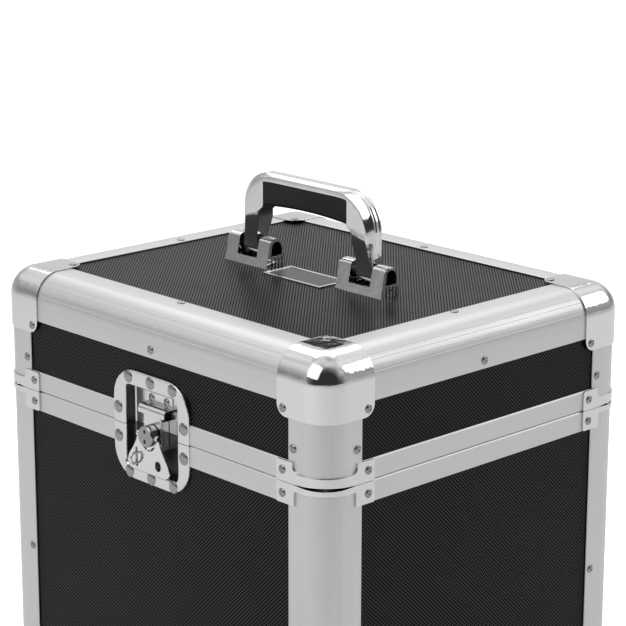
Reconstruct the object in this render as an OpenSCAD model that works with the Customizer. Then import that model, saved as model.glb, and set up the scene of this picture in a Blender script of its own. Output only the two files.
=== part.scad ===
// Record carrying case: plywood panels with textured black laminate, held in
// aluminium edge extrusions, with a hinged lid, a recessed turn latch and a
// folding carrying handle. Millimetres, +Z up, latch face towards -Y, origin at
// the centre of the footprint on the plane that the rubber feet stand on.

/* [Case] */
// Outside width over the extrusions
case_w = 360; // [340:1:420]
// Outside depth over the extrusions
case_d = 310.6; // [260:0.2:420]
// Height of the body without feet and handle
body_h = 385; // [360:1:440]
// Height of the lid from the seam to the top
lid_h = 91.2; // [80:0.2:140]
// Height of the rubber feet
feet_h = 9; // [6:0.5:20]

/* [Walls] */
// Thickness of the plywood panels
panel_t = 9; // [6:0.5:9]
// Thickness of the foam lining
foam_t = 3; // [2:0.5:5]

/* [Edge extrusions] */
// Outside radius of the edge extrusions
edge_r = 20.5; // [18:0.5:22]
// Wall thickness of the extrusions
wall = 1.5; // [1.2:0.1:1.8]
// Width of a post's flange on each face
post_leg = 35.4; // [32:0.2:40]
// Width of a top edge's flange on the top face
top_leg = 33.8; // [30:0.2:40]
// Width of a top or bottom edge's flange on the side faces
side_leg = 35.8; // [32:0.2:40]
// Height of each rim profile at the seam
rim_h = 15.3; // [12:0.1:18]
// Height of the sealing tongue on the base rim
tongue_h = 4; // [2:0.5:4.5]

/* [Corners] */
// Length of a corner cap on each face
cap_leg = 45.5; // [42:0.5:52]
// Thickness of caps and braces
cap_t = 1.2; // [1:0.1:1.4]
// Distance of a brace tab's far end from the corner
brace_reach = 46; // [44:0.5:50]

/* [Latch] */
// Width of the latch dish
dish_w = 84.5; // [80:0.5:90]
// Width of the pocket in the dish
pocket_w = 58; // [54:0.5:60]
// Depth of the pocket below the face
pocket_depth = 8.5; // [8:0.1:8.6]
// Distance of the spindle below the seam
spindle_drop = 2; // [2:0.5:4]
// Eccentricity that lifts the hook strap
eccentric = 2; // [1.5:0.1:2.2]

/* [Handle] */
// Half the outside width of the bail
bail_half_w = 71; // [70:0.5:74]
// Height of the bail above the top face
bail_top = 72.5; // [70:0.5:90]
// Height of the bail's pivot above the top face
pivot_h = 12; // [12:0.5:13]

/* [Hidden] */
$fn = 64;

aluminium = [0.80, 0.80, 0.81];
nickel = [0.72, 0.72, 0.74];
rivet_steel = [0.55, 0.55, 0.57];
laminate = [0.09, 0.09, 0.10];
foam_black = [0.05, 0.05, 0.05];
rubber_black = [0.04, 0.04, 0.045];

half_w = case_w / 2;
half_d = case_d / 2;
bottom_z = feet_h;
top_z = feet_h + body_h;
seam_z = top_z - lid_h;
seam_gap = 0.15;           // half the play between the two rims
channel = wall + panel_t;  // depth of a panel's inside face below the outside
inner = channel + wall;    // depth of the extrusions' inside face
panel_start = 20;          // where the panels begin, from the corner
inner_leg = 24;            // reach of the extrusions' inside flange
mitre_gap = 0.02;
far = 60;                  // larger than any cut needs

// ---------------------------------------------------------------- extrusions

// Section of an edge extrusion. The outside corner is at the origin, and the
// two flanges run along +X and +Y. Each flange covers a panel that is pushed
// into the channel between the outside flange and the inside one.
module edge_section(leg_x, leg_y, grooves = []) {
    difference() {
        union() {
            translate([edge_r, edge_r]) intersection() {
                difference() {
                    circle(edge_r);
                    circle(edge_r - wall);
                }
                translate([-far, -far]) square(far);
            }
            translate([edge_r, 0]) square([leg_x - edge_r, wall]);
            translate([0, edge_r]) square([wall, leg_y - edge_r]);
            translate([channel, channel]) square([inner_leg - channel, wall]);
            translate([channel, channel]) square([wall, inner_leg - channel]);
            translate([panel_start - wall, wall / 2]) square([wall, channel]);
            translate([wall / 2, panel_start - wall]) square([channel, wall]);
        }
        for (a = grooves)
            translate([edge_r, edge_r]) rotate(180 + a) translate([edge_r + 0.15, 0])
                circle(0.45, $fn = 16);
    }
}

// A length of extrusion along +Z with its ends mitred against the two other
// extrusions that meet it at a corner.
module mitred_edge(run, leg_x, leg_y, grooves = [], low_end = true, high_end = true) {
    difference() {
        linear_extrude(run) edge_section(leg_x, leg_y, grooves);
        if (low_end) mitre_cut();
        if (high_end) translate([0, 0, run]) mirror([0, 0, 1]) mitre_cut();
    }
}

// Everything nearer to the corner along Z than along X or along Y, and the
// corner itself, which is left open under the cap.
module mitre_cut() {
    translate([-1, -1, -1]) cube([far, far, edge_r + 1]);
    wedge = [[-1, -1], [far, -1], [far, far + mitre_gap], [0, mitre_gap], [-1, mitre_gap]];
    translate([0, far, 0]) rotate([90, 0, 0]) linear_extrude(far + 1) polygon(wedge);
    translate([-1, 0, 0]) rotate([90, 0, 90]) linear_extrude(far + 1) polygon(wedge);
}

// Section of the inside flanges alone, which carry on to the seam.
module inner_angle() {
    translate([channel, channel]) square([inner_leg - channel, wall]);
    translate([channel, channel]) square([wall, inner_leg - channel]);
}

top_grooves = [14, 25, 36, 47, 80];
post_end_up = 6.7;    // the lid posts stop this far above the seam
post_end_down = 5.3;  // the base posts stop this far below it

// The children, drawn for the corner at -X -Y, at all four vertical edges.
module four_corners() {
    for (sx = [0, 1], sy = [0, 1]) mirror([sx, 0, 0]) mirror([0, sy, 0])
        translate([-half_w, -half_d, 0]) children();
}

module lid_corner_posts() {
    h = lid_h - post_end_up;
    color(aluminium) four_corners() {
        translate([0, 0, seam_z + post_end_up]) mitred_edge(h, post_leg, post_leg, low_end = false);
        translate([0, 0, seam_z + seam_gap]) linear_extrude(post_end_up - seam_gap + 0.5) inner_angle();
    }
}

module base_corner_posts() {
    h = seam_z - bottom_z - post_end_down;
    color(aluminium) four_corners() {
        translate([0, 0, bottom_z]) mitred_edge(h, post_leg, post_leg, high_end = false);
        translate([0, 0, bottom_z + h - 0.5]) linear_extrude(post_end_down - seam_gap + 0.5) inner_angle();
    }
}

// An edge along X at the front, with its corner line at the origin's height.
module edge_along_x(leg_in, leg_down, grooves) {
    translate([-half_w, -half_d, 0]) rotate([90, 0, 90]) mirror([0, 1, 0])
        mitred_edge(case_w, leg_in, leg_down, grooves);
}

// An edge along Y at the left.
module edge_along_y(leg_in, leg_down, grooves) {
    translate([-half_w, half_d, 0]) rotate([90, 0, 0]) mirror([0, 1, 0])
        mitred_edge(case_d, leg_in, leg_down, grooves);
}

module top_edge_front() color(aluminium)
    translate([0, 0, top_z]) edge_along_x(top_leg, side_leg, top_grooves);
module top_edge_back() mirror([0, 1, 0]) top_edge_front();
module top_edge_left() color(aluminium)
    translate([0, 0, top_z]) edge_along_y(top_leg, side_leg, top_grooves);
module top_edge_right() mirror([1, 0, 0]) top_edge_left();

module bottom_edges() color(aluminium) {
    for (s = [0, 1]) mirror([0, s, 0])
        translate([0, 0, bottom_z]) mirror([0, 0, 1]) edge_along_x(top_leg, side_leg, []);
    for (s = [0, 1]) mirror([s, 0, 0])
        translate([0, 0, bottom_z]) mirror([0, 0, 1]) edge_along_y(top_leg, side_leg, []);
}

// --------------------------------------------------------------------- rims

// Rim sections: X runs into the wall from the outside face, Y is height above
// the seam. The base rim has a tongue, and the lid rim a groove around it.
tongue_near = 4.6;
tongue_far = 7.4;
groove_near = 4.1;
groove_far = 8.4;
groove_depth = tongue_h + 0.7;
rim_web = 2;
bevel = 0.8;
inner_rim_h = 12;
lid_panel_low = seam_gap + groove_depth + 1.2;

module base_rim_section() {
    polygon([[0, -rim_h], [wall, -rim_h], [wall, -seam_gap - rim_web], [channel, -seam_gap - rim_web],
        [channel, -inner_rim_h], [inner, -inner_rim_h], [inner, -seam_gap],
        [tongue_far, -seam_gap], [tongue_far, tongue_h - 0.8], [tongue_far - 0.6, tongue_h],
        [tongue_near + 0.6, tongue_h], [tongue_near, tongue_h - 0.8], [tongue_near, -seam_gap],
        [bevel, -seam_gap], [0, -seam_gap - bevel]]);
}

module lid_rim_section() {
    g = seam_gap;
    polygon([[0, rim_h - bevel], [bevel, rim_h], [wall, rim_h], [wall, g + wall],
        [groove_near - 1.2, g + wall], [groove_near - 1.2, lid_panel_low],
        [groove_far + 1.2, lid_panel_low], [groove_far + 1.2, g + wall],
        [channel, g + wall], [channel, inner_rim_h], [inner, inner_rim_h], [inner, g],
        [groove_far, g], [groove_far, g + groove_depth], [groove_near, g + groove_depth],
        [groove_near, g], [bevel, g], [0, g + bevel]]);
}

// A rim along X at the front, between the posts' flanges.
module rim_along_x() {
    run = case_w - 2 * post_leg;
    translate([-run / 2, -half_d, seam_z]) rotate([90, 0, 90]) linear_extrude(run) children();
}

module rim_along_y() {
    run = case_d - 2 * post_leg;
    translate([-half_w, run / 2, seam_z]) rotate([90, 0, 0]) linear_extrude(run) children();
}

// The body of the latch dish, cut out of what it is let into. The inside
// flange of the rims carries on behind it.
module dish_space() {
    translate([0, -half_d, seam_z]) {
        face_block(-wall - 0.01, 5) dish_outline(0);
        face_block(-channel, 0) pocket_outline(pocket_wall);
    }
}

module base_rim_front() color(aluminium) difference() {
    rim_along_x() base_rim_section();
    dish_space();
}
module base_rim_back() color(aluminium) mirror([0, 1, 0]) rim_along_x() base_rim_section();
module base_rim_left() color(aluminium) rim_along_y() base_rim_section();
module base_rim_right() mirror([1, 0, 0]) base_rim_left();

module lid_rim_front() color(aluminium) difference() {
    rim_along_x() lid_rim_section();
    dish_space();
}
module lid_rim_back() color(aluminium) mirror([0, 1, 0]) rim_along_x() lid_rim_section();
module lid_rim_left() color(aluminium) rim_along_y() lid_rim_section();
module lid_rim_right() mirror([1, 0, 0]) lid_rim_left();

// ------------------------------------------------------------------- panels

panel_w = case_w - 2 * panel_start;
panel_d = case_d - 2 * panel_start;
base_panel_low = bottom_z + panel_start;
base_panel_high = seam_z - seam_gap - rim_web;
lid_wall_low = seam_z + lid_panel_low;
lid_wall_high = top_z - panel_start;

// A wall panel at the front, between two heights.
module front_wall(low, high) {
    translate([-panel_w / 2, -half_d + wall, low]) cube([panel_w, panel_t, high - low]);
}

module left_wall(low, high) {
    translate([-half_w + wall, -panel_d / 2, low]) cube([panel_t, panel_d, high - low]);
}

module base_front_panel() color(laminate) difference() {
    front_wall(base_panel_low, base_panel_high);
    translate([0, -half_d, seam_z]) face_block(-channel - 1, 1) pocket_outline(pocket_wall);
}
module base_back_panel() color(laminate) mirror([0, 1, 0]) front_wall(base_panel_low, base_panel_high);
module base_left_panel() color(laminate) left_wall(base_panel_low, base_panel_high);
module base_right_panel() mirror([1, 0, 0]) base_left_panel();
module bottom_panel() color(laminate)
    translate([-panel_w / 2, -panel_d / 2, bottom_z + wall]) cube([panel_w, panel_d, panel_t]);

module lid_front_panel() color(laminate) difference() {
    front_wall(lid_wall_low, lid_wall_high);
    translate([0, -half_d, seam_z]) face_block(-channel - 1, 1) pocket_outline(pocket_wall);
}
module lid_back_panel() color(laminate) mirror([0, 1, 0]) front_wall(lid_wall_low, lid_wall_high);
module lid_left_panel() color(laminate) left_wall(lid_wall_low, lid_wall_high);
module lid_right_panel() mirror([1, 0, 0]) lid_left_panel();
module top_panel() color(laminate) difference() {
    translate([-panel_w / 2, -panel_d / 2, top_z - channel]) cube([panel_w, panel_d, panel_t]);
    bolt_places() translate([0, 0, -channel - 1]) cylinder(r = bolt_r, h = panel_t + 2);
}

// --------------------------------------------------------------------- foam

foam_in = inner + foam_t;

// A ring of foam sheet against the four walls.
module foam_ring(low, high) {
    translate([0, 0, low]) linear_extrude(high - low) difference() {
        square([case_w - 2 * inner, case_d - 2 * inner], center = true);
        square([case_w - 2 * foam_in, case_d - 2 * foam_in], center = true);
    }
}

module base_wall_foam() color(foam_black) foam_ring(bottom_z + foam_in, seam_z - 3);
module base_floor_foam() color(foam_black) {
    w = case_w - 2 * inner;
    d = case_d - 2 * inner;
    translate([-w / 2, -d / 2, bottom_z + inner]) cube([w, d, foam_t]);
}

// The lid's lining is one tray, with hollows over the handle's backing plates.
module lid_foam() color(foam_black) difference() {
    union() {
        foam_ring(seam_z + 3, top_z - inner);
        translate([-half_w + inner, -half_d + inner, top_z - foam_in])
            cube([case_w - 2 * inner, case_d - 2 * inner, foam_t]);
    }
    bolt_places() translate([0, 0, -inner - bolt_head_h]) cylinder(r = bolt_head_r + 0.5, h = far);
}

// ------------------------------------------------------- caps, braces, feet

// The outside of a box corner with rounded edges. The box's faces lie at
// -grow, and the rounding is centred edge_r inside the faces at zero.
module round_corner(grow) {
    r = edge_r + grow;
    reach = far;
    translate([edge_r, edge_r, edge_r]) {
        sphere(r);
        cylinder(r = r, h = reach);
        rotate([0, 90, 0]) cylinder(r = r, h = reach);
        rotate([-90, 0, 0]) cylinder(r = r, h = reach);
        translate([0, 0, -r]) cube([reach, reach, reach + r]);
        translate([0, -r, 0]) cube([reach, reach + r, reach]);
        translate([-r, 0, 0]) cube([reach + r, reach, reach]);
    }
}

// One face of a cap, from the corner out, with its free corner rounded.
module cap_face() {
    r = 9;
    translate([-5, -5]) square([cap_leg + 5, cap_leg - r + 5]);
    translate([-5, -5]) square([cap_leg - r + 5, cap_leg + 5]);
    translate([cap_leg - r, cap_leg - r]) circle(r);
}

// A pressed corner cap for the corner at the origin, legs along +X +Y +Z.
module corner_cap() {
    intersection() {
        difference() {
            round_corner(cap_t);
            round_corner(0);
        }
        translate([0, 0, -5]) linear_extrude(far) cap_face();
        translate([0, far, 0]) rotate([90, 0, 0]) linear_extrude(far + 5) cap_face();
        translate([-5, 0, 0]) rotate([90, 0, 90]) linear_extrude(far) cap_face();
    }
}

module top_cap_front_left() color(nickel)
    translate([-half_w, -half_d, top_z]) mirror([0, 0, 1]) corner_cap();
module top_cap_front_right() mirror([1, 0, 0]) top_cap_front_left();
module top_cap_back_left() mirror([0, 1, 0]) top_cap_front_left();
module top_cap_back_right() mirror([1, 0, 0]) mirror([0, 1, 0]) top_cap_front_left();
module bottom_corner_caps() color(nickel) four_corners() translate([0, 0, bottom_z]) corner_cap();

upper_start = 30;     // where the tabs above the seam begin
upper_strip_h = 8;    // height of the strip between them
upper_fillet = 4.5;
lower_start = 28.5;   // the same below the seam
lower_strip_h = 4.7;
lower_fillet = 1;

// One tab of a brace, on the front face, in X and height above the seam, with
// the end of the strip that joins the tabs.
module brace_tab(start, strip_h, fillet) {
    r = 1.5;
    translate([start, seam_gap]) square([brace_reach - start - r, rim_h - seam_gap]);
    translate([start, seam_gap]) square([brace_reach - start, rim_h - seam_gap - r]);
    translate([brace_reach - r, rim_h - r]) circle(r);
    translate([start - fillet, seam_gap]) difference() {
        square([fillet, strip_h - seam_gap + fillet]);
        translate([0, strip_h - seam_gap + fillet]) circle(fillet);
    }
}

// The shallow arch that opens the seam towards the corner, cut across it.
module seam_arch(start, rise) {
    r = (start * start / 2 + rise * rise) / (2 * rise);
    translate([0, 0, seam_gap + rise - r]) rotate([0, 0, 45]) rotate([0, 90, 0])
        translate([0, 0, -far]) cylinder(r = r, h = 2 * far, $fn = 720);
}

// A corner brace above the seam: two tabs joined by a strip round the corner.
module corner_brace(start, strip_h, fillet, rise) {
    difference() {
        union() {
            rotate([90, 0, 0]) linear_extrude(cap_t) brace_tab(start, strip_h, fillet);
            mirror([1, -1, 0]) rotate([90, 0, 0]) linear_extrude(cap_t)
                brace_tab(start, strip_h, fillet);
            translate([0, 0, seam_gap]) linear_extrude(strip_h - seam_gap) {
                translate([edge_r, edge_r]) intersection() {
                    difference() {
                        circle(edge_r + cap_t);
                        circle(edge_r);
                    }
                    translate([-far, -far]) square(far);
                }
                translate([edge_r, -cap_t]) square([start - edge_r + 1, cap_t]);
                translate([-cap_t, edge_r]) square([cap_t, start - edge_r + 1]);
            }
        }
        seam_arch(start, rise);
    }
}

module upper_corner_braces() color(nickel)
    four_corners() translate([0, 0, seam_z])
        corner_brace(upper_start, upper_strip_h, upper_fillet, 1.6);
module lower_corner_braces() color(nickel)
    four_corners() translate([0, 0, seam_z]) mirror([0, 0, 1])
        corner_brace(lower_start, lower_strip_h, lower_fillet, 0.6);

foot_r = 16;
foot_x = half_w - 55;
foot_y = half_d - 55;
module rubber_feet() color(rubber_black)
    for (sx = [-1, 1], sy = [-1, 1]) translate([sx * foot_x, sy * foot_y, 0]) rotate_extrude()
        polygon([[3, feet_h - 4], [3, 1], [4, 0], [foot_r - 2, 0], [foot_r - 0.8, 1],
            [foot_r, feet_h + wall], [2, feet_h + wall], [2, feet_h - 4]]);

// ------------------------------------------------------------------- rivets

small_rivet_r = 3.15;
dish_rivet_r = 4.75;

// A domed rivet head on the plane Z = 0.
module rivet_head(r, h) {
    ball = (r * r + h * h) / (2 * h);
    rotate_extrude() intersection() {
        translate([0, h - ball]) circle(ball, $fn = 256);
        square([r, h + 1]);
    }
}

// Heads at [x, z] places on the front face, standing on a plane that is
// proud of the case by the given height. Children are the head.
module on_front(places, proud) {
    for (p = places) translate([p[0], -half_d - proud, p[1]]) rotate([90, 0, 0]) children();
}

// Places on the front face, drawn again on the back.
module on_front_and_back(places, proud) {
    for (s = [0, 1]) mirror([0, s, 0]) on_front(places, proud) children();
}

module on_sides(places, proud) {
    for (s = [0, 1]) mirror([s, 0, 0])
        for (p = places) translate([-half_w - proud, p[0], p[1]]) rotate([0, -90, 0]) children();
}

post_rivet = 30.5;      // distance from the corner
cap_rivet = 39.5;
cap_rivet_z = 39.5;
brace_rivet = 40;
brace_rivet_z = 8.3;
lid_post_rivet_z = 66.4;
base_post_rivet_z = 220;
edge_rivet = 29.5;

function both(v) = [-v, v];

module lid_rivets() color(rivet_steel) {
    post_z = top_z - lid_post_rivet_z;
    on_front_and_back([for (x = both(half_w - post_rivet)) [x, post_z]], 0) small_head();
    on_sides([for (y = both(half_d - post_rivet)) [y, post_z]], 0) small_head();
    on_front_and_back([[0, top_z - edge_rivet]], 0) small_head();
    on_sides([[0, top_z - edge_rivet]], 0) small_head();
    on_front_and_back([for (x = both(half_w - cap_rivet)) [x, top_z - cap_rivet_z]], cap_t) small_head();
    on_sides([for (y = both(half_d - cap_rivet)) [y, top_z - cap_rivet_z]], cap_t) small_head();
    on_front_and_back([for (x = both(half_w - brace_rivet)) [x, seam_z + brace_rivet_z]], cap_t)
        small_head();
    on_sides([for (y = both(half_d - brace_rivet)) [y, seam_z + brace_rivet_z]], cap_t) small_head();
    for (x = both(half_w - cap_rivet), y = both(half_d - cap_rivet))
        translate([x, y, top_z + cap_t]) small_head();
    for (y = both(half_d - edge_rivet)) translate([0, y, top_z]) small_head();
    for (x = both(half_w - edge_rivet)) translate([x, 0, top_z]) small_head();
    mirror([0, 1, 0]) on_front([for (x = hinge_rivets) [x, seam_z + leaf_rivet_z]], leaf_t) small_head();
}

module base_rivets() color(rivet_steel) {
    post_z = top_z - base_post_rivet_z;
    on_front_and_back([for (x = both(half_w - post_rivet)) [x, post_z]], 0) small_head();
    on_sides([for (y = both(half_d - post_rivet)) [y, post_z]], 0) small_head();
    on_front_and_back([[0, bottom_z + edge_rivet]], 0) small_head();
    on_sides([[0, bottom_z + edge_rivet]], 0) small_head();
    on_front_and_back([for (x = both(half_w - cap_rivet)) [x, bottom_z + cap_rivet_z]], cap_t) small_head();
    on_sides([for (y = both(half_d - cap_rivet)) [y, bottom_z + cap_rivet_z]], cap_t) small_head();
    on_front_and_back([for (x = both(half_w - brace_rivet)) [x, seam_z - brace_rivet_z]], cap_t)
        small_head();
    on_sides([for (y = both(half_d - brace_rivet)) [y, seam_z - brace_rivet_z]], cap_t) small_head();
    mirror([0, 1, 0]) on_front([for (x = hinge_rivets) [x, seam_z - leaf_rivet_z]], leaf_t) small_head();
}

module small_head() rivet_head(small_rivet_r, 1.3);

// ------------------------------------------------------------------- hinges

hinge_x = 98;
hinge_w = 60;
leaf_t = 1.5;
leaf_h = 14.5;
leaf_rivet_z = 9;
knuckle_r = 4.5;
hinge_out = 5.5;      // axis, outside the back face
hinge_pin_r = 2;
knuckles = 5;
knuckle_gap = 0.3;
knuckle_w = hinge_w / knuckles;
running = 0.05;       // radial play of everything that turns
hinge_rivets = [for (s = [-1, 1], t = [-1, 0, 1]) s * hinge_x + t * 22];

// One leaf at the back with the knuckles of the given parity.
module hinge_leaf(parity, up, bore_r) {
    module barrel(first, r, trim) {
        for (i = [first:2:knuckles - 1])
            translate([i * knuckle_w - hinge_w / 2 + trim, hinge_out, 0])
                rotate([0, 90, 0]) cylinder(r = r, h = knuckle_w - 2 * trim);
    }
    difference() {
        union() {
            translate([-hinge_w / 2, 0, up > 0 ? seam_gap + 0.4 : -leaf_h])
                cube([hinge_w, leaf_t, leaf_h - 0.55]);
            barrel(parity, knuckle_r, knuckle_gap / 2);
            for (i = [parity:2:knuckles - 1])
                translate([i * knuckle_w - hinge_w / 2 + knuckle_gap / 2, 0, up > 0 ? 1 : -knuckle_r])
                    cube([knuckle_w - knuckle_gap, hinge_out, knuckle_r - 1]);
        }
        barrel(1 - parity, knuckle_r + 0.4, -knuckle_gap / 2);
        translate([-hinge_w, hinge_out, 0]) rotate([0, 90, 0]) cylinder(r = bore_r, h = 2 * hinge_w);
    }
}

module at_hinges() for (s = [-1, 1]) translate([s * hinge_x, half_d, seam_z]) children();
module hinge_base_leaves() color(nickel) at_hinges() hinge_leaf(0, -1, hinge_pin_r);
module hinge_lid_leaves() color(nickel) at_hinges() hinge_leaf(1, 1, hinge_pin_r + running);
module hinge_pins() color(rivet_steel) at_hinges() translate([-hinge_w / 2, hinge_out, 0])
    rotate([0, 90, 0]) cylinder(r = hinge_pin_r, h = hinge_w);

// -------------------------------------------------------------------- latch
// The latch is drawn with X across, Y outwards from the case and Z as height
// above the seam, and then turned to face -Y.

dish_top = 42.6;
dish_low = -40.1;
dish_corner = 23;
dish_proud = 1;
pocket_top = 30.4;
pocket_low = -30.4;
pocket_wall = 1;
pocket_corner = 4;
spindle_z = -spindle_drop;
spindle_r = 3;
ear_r = 7;
dish_rivet_h = 1.25;

// A solid between two depths outwards from the front face, from an outline
// in X and height.
module face_block(from, to) {
    translate([0, -from, 0]) rotate([90, 0, 0]) linear_extrude(to - from) children();
}

module round_rect(x0, y0, x1, y1, r) {
    translate([x0 + r, y0]) square([x1 - x0 - 2 * r, y1 - y0]);
    translate([x0, y0 + r]) square([x1 - x0, y1 - y0 - 2 * r]);
    for (x = [x0 + r, x1 - r], y = [y0 + r, y1 - r]) translate([x, y]) circle(r);
}

module dish_outline(grow) {
    round_rect(-dish_w / 2 - grow, dish_low - grow, dish_w / 2 + grow, dish_top + grow, dish_corner + grow);
}

module pocket_outline(grow) {
    round_rect(-pocket_w / 2 - grow, pocket_low - grow, pocket_w / 2 + grow, pocket_top + grow,
        pocket_corner + grow);
}

// The whole pressed dish, before it is parted at the seam.
module dish() {
    difference() {
        union() {
            face_block(-wall, dish_proud) dish_outline(0);
            face_block(-pocket_depth - pocket_wall, 0) pocket_outline(pocket_wall);
        }
        face_block(-pocket_depth, dish_proud + 1) pocket_outline(0);
    }
}

// The base half: all below the seam, and an ear of its floor that carries the
// spindle and reaches over the seam.
module base_part(grow) {
    face_block(-far, far) {
        translate([-far, -far]) square([2 * far, far - seam_gap]);
    }
    face_block(-pocket_depth - 1.5, -pocket_depth + 0.5) translate([0, spindle_z]) circle(ear_r + grow);
}

module at_latch() translate([0, -half_d, seam_z]) children();

module latch_dish_base() color(nickel) at_latch() difference() {
    intersection() {
        dish();
        base_part(0);
    }
    face_block(-far, far) translate([0, spindle_z]) circle(spindle_r + running);
}

module latch_dish_lid() color(nickel) at_latch() difference() {
    dish();
    face_block(-far, far) translate([-far, -far]) square([2 * far, far + seam_gap]);
    face_block(-far, 0) translate([0, spindle_z]) circle(ear_r + 0.4);
}

lid_dish_rivets = [[-24.8, 37], [0, 37], [24.8, 37], [-36.8, 11.4], [36.8, 11.4]];
base_dish_rivets = [[-36.8, -10.6], [36.8, -10.6], [-24.8, -35.1], [0, -35.4], [24.8, -35.1]];
catch_rivets = [[-8.4, 22.8], [8.4, 22.8]];

module latch_lid_rivets() color(rivet_steel) at_latch() {
    for (p = lid_dish_rivets) translate([p[0], -dish_proud, p[1]]) rotate([90, 0, 0])
        rivet_head(dish_rivet_r, dish_rivet_h);
    for (p = catch_rivets) translate([p[0], pocket_depth - catch_t, p[1]]) rotate([90, 0, 0])
        rivet_head(small_rivet_r, 1.3);
}
module latch_base_rivets() color(rivet_steel) at_latch()
    for (p = base_dish_rivets) translate([p[0], -dish_proud, p[1]]) rotate([90, 0, 0])
        rivet_head(dish_rivet_r, dish_rivet_h);

catch_t = 1;
catch_half_w = 14.6;
lip_out = 0.6;       // how far the lip stands outside the face
lip_low = 12.6;
ledge_z = 18.3;
lip_bend = 4;

// The keeper on the lid: a plate on the floor of the dish whose lower edge is
// rolled outwards and down into a lip in front of the strap's claw.
module latch_catch() color(nickel) at_latch()
    translate([-catch_half_w, 0, 0]) rotate([90, 0, 90]) linear_extrude(2 * catch_half_w)
        difference() {
            union() {
                translate([pocket_depth - catch_t, ledge_z]) square([catch_t, 27 - ledge_z]);
                translate([-lip_out, lip_low]) square([pocket_depth + lip_out, ledge_z + catch_t - lip_low]);
            }
            translate([-lip_out + catch_t, lip_low - 1])
                square([pocket_depth + far, ledge_z - lip_bend + catch_t - lip_low + 1]);
            translate([-lip_out + lip_bend, lip_low]) square([far, ledge_z - lip_low]);
            translate([-lip_out + lip_bend, ledge_z + catch_t - lip_bend]) circle(lip_bend - catch_t);
            translate([-lip_out, ledge_z + catch_t - lip_bend]) difference() {
                translate([-1, 0]) square([lip_bend + 1, lip_bend + 1]);
                translate([lip_bend, 0]) circle(lip_bend);
            }
        }

strap_front = 0.9;   // depth of the strap's face inside the case's face
strap_t = 1.3;
strap_half_w = 9.6;
cam_r = 5.3;
cam_play = 0.6;

// The hook strap: a channel with a slot round the spindle's eccentric and a
// claw bent inwards at its top.
module latch_strap() color(nickel) at_latch() {
    cam_z = spindle_z - eccentric;
    difference() {
        union() {
            face_block(-strap_front - strap_t, -strap_front)
                round_rect(-strap_half_w, -14, strap_half_w, 12.2, 1);
            for (s = [0, 1]) mirror([s, 0, 0])
                translate([strap_half_w - strap_t, strap_front + 0.5, -12.5])
                    cube([strap_t, pocket_depth - 0.4 - strap_front - 0.5, 21.5]);
            translate([-strap_half_w + 1, 0, 0]) rotate([90, 0, 90]) linear_extrude(2 * strap_half_w - 2)
                polygon([[strap_front, 11], [strap_front + 1.5, 13.9], [strap_front + 2.9, 13.9],
                    [strap_front + strap_t, 10.6]]);
        }
        face_block(-far, far) translate([0, cam_z])
            round_rect(-cam_r - eccentric - 0.5, -cam_r - cam_play, cam_r + eccentric + 0.5,
                cam_r + cam_play, 4);
    }
}

barrel_r = 8;
barrel_back = -0.2;
head_out = 6.6;
groove_out = 4.8;
flap_pin_out = 3;
flap_pin_r = 1.5;
dimple_z = 3.75;

// The spindle: a button head with two spanner holes, the barrel that the flap
// is pinned to, the eccentric that lifts the strap, and the peened shaft.
module latch_spindle() color(nickel) at_latch() difference() {
    union() {
        translate([0, 0, spindle_z]) rotate([90, 0, 0]) rotate_extrude() polygon([
            [0, -10.3], [4.6, -10.3], [4.6, -9.65], [spindle_r, -9.65], [spindle_r, barrel_back],
            [barrel_r, barrel_back], [barrel_r, groove_out], [barrel_r - 0.7, groove_out],
            [barrel_r - 0.7, groove_out + 0.4], [barrel_r, groove_out + 0.4], [barrel_r, head_out - 0.7],
            [barrel_r - 0.7, head_out], [0, head_out]]);
        face_block(-strap_front - strap_t - 0.3, barrel_back) translate([0, spindle_z - eccentric])
            circle(cam_r);
    }
    translate([-far, -flap_pin_out, spindle_z]) rotate([0, 90, 0]) cylinder(r = flap_pin_r, h = 2 * far);
    for (s = both(dimple_z)) translate([0, -head_out - 1, spindle_z + s]) rotate([-90, 0, 0])
        cylinder(r = 1.6, h = 2.2);
}

flap_eye_r = 2.2;
flap_arm_in = barrel_r + 0.3;
flap_arm_out = 11.6;
module latch_flap_pin() color(rivet_steel) at_latch()
    translate([-flap_arm_out, -flap_pin_out, spindle_z]) rotate([0, 90, 0])
        cylinder(r = flap_pin_r, h = 2 * flap_arm_out);

flap_t = 1.1;
flap_back = 2.45;
staple_x = -13.3;
staple_z = spindle_z - 19.5;
staple_wire_r = 1;
staple_bend_r = 4;
staple_leg = 2.85;
carrier_low = 1.15;
carrier_high = 2.15;
carrier_reach = 28.2;

// Outline of the fan-shaped thumb flap below the spindle, in X and height.
module flap_outline() {
    z = spindle_z;
    difference() {
        intersection() {
            polygon([[-flap_arm_out, z], [-13.6, z - 6], [-17.2, z - 12], [-21.8, z - 18], [-24, z - 24],
                [-24, z - 28.4], [24, z - 28.4], [24, z - 24], [21.8, z - 18], [17.2, z - 12],
                [13.6, z - 6], [flap_arm_out, z]]);
            union() {
                round_rect(-24, z - 28.4, 24, z + 30, 7);
            }
        }
        translate([-flap_arm_in, z - 3.2]) square([2 * flap_arm_in, 20]);
        translate([0, z - 3.2]) circle(flap_arm_in);
        translate([staple_x, z - 12.6]) circle(1.5);
        translate([staple_x - 1.5, z - 24.6]) square([3, 12]);
        translate([staple_x, z - 24.6]) circle(1.5);
        translate([10.8, z - 20]) circle(3.2);
        translate([10.8, z - 21.2]) circle(3.2);
        translate([10.8 - 3.2, z - 21.2]) square([6.4, 1.2]);
    }
}

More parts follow.
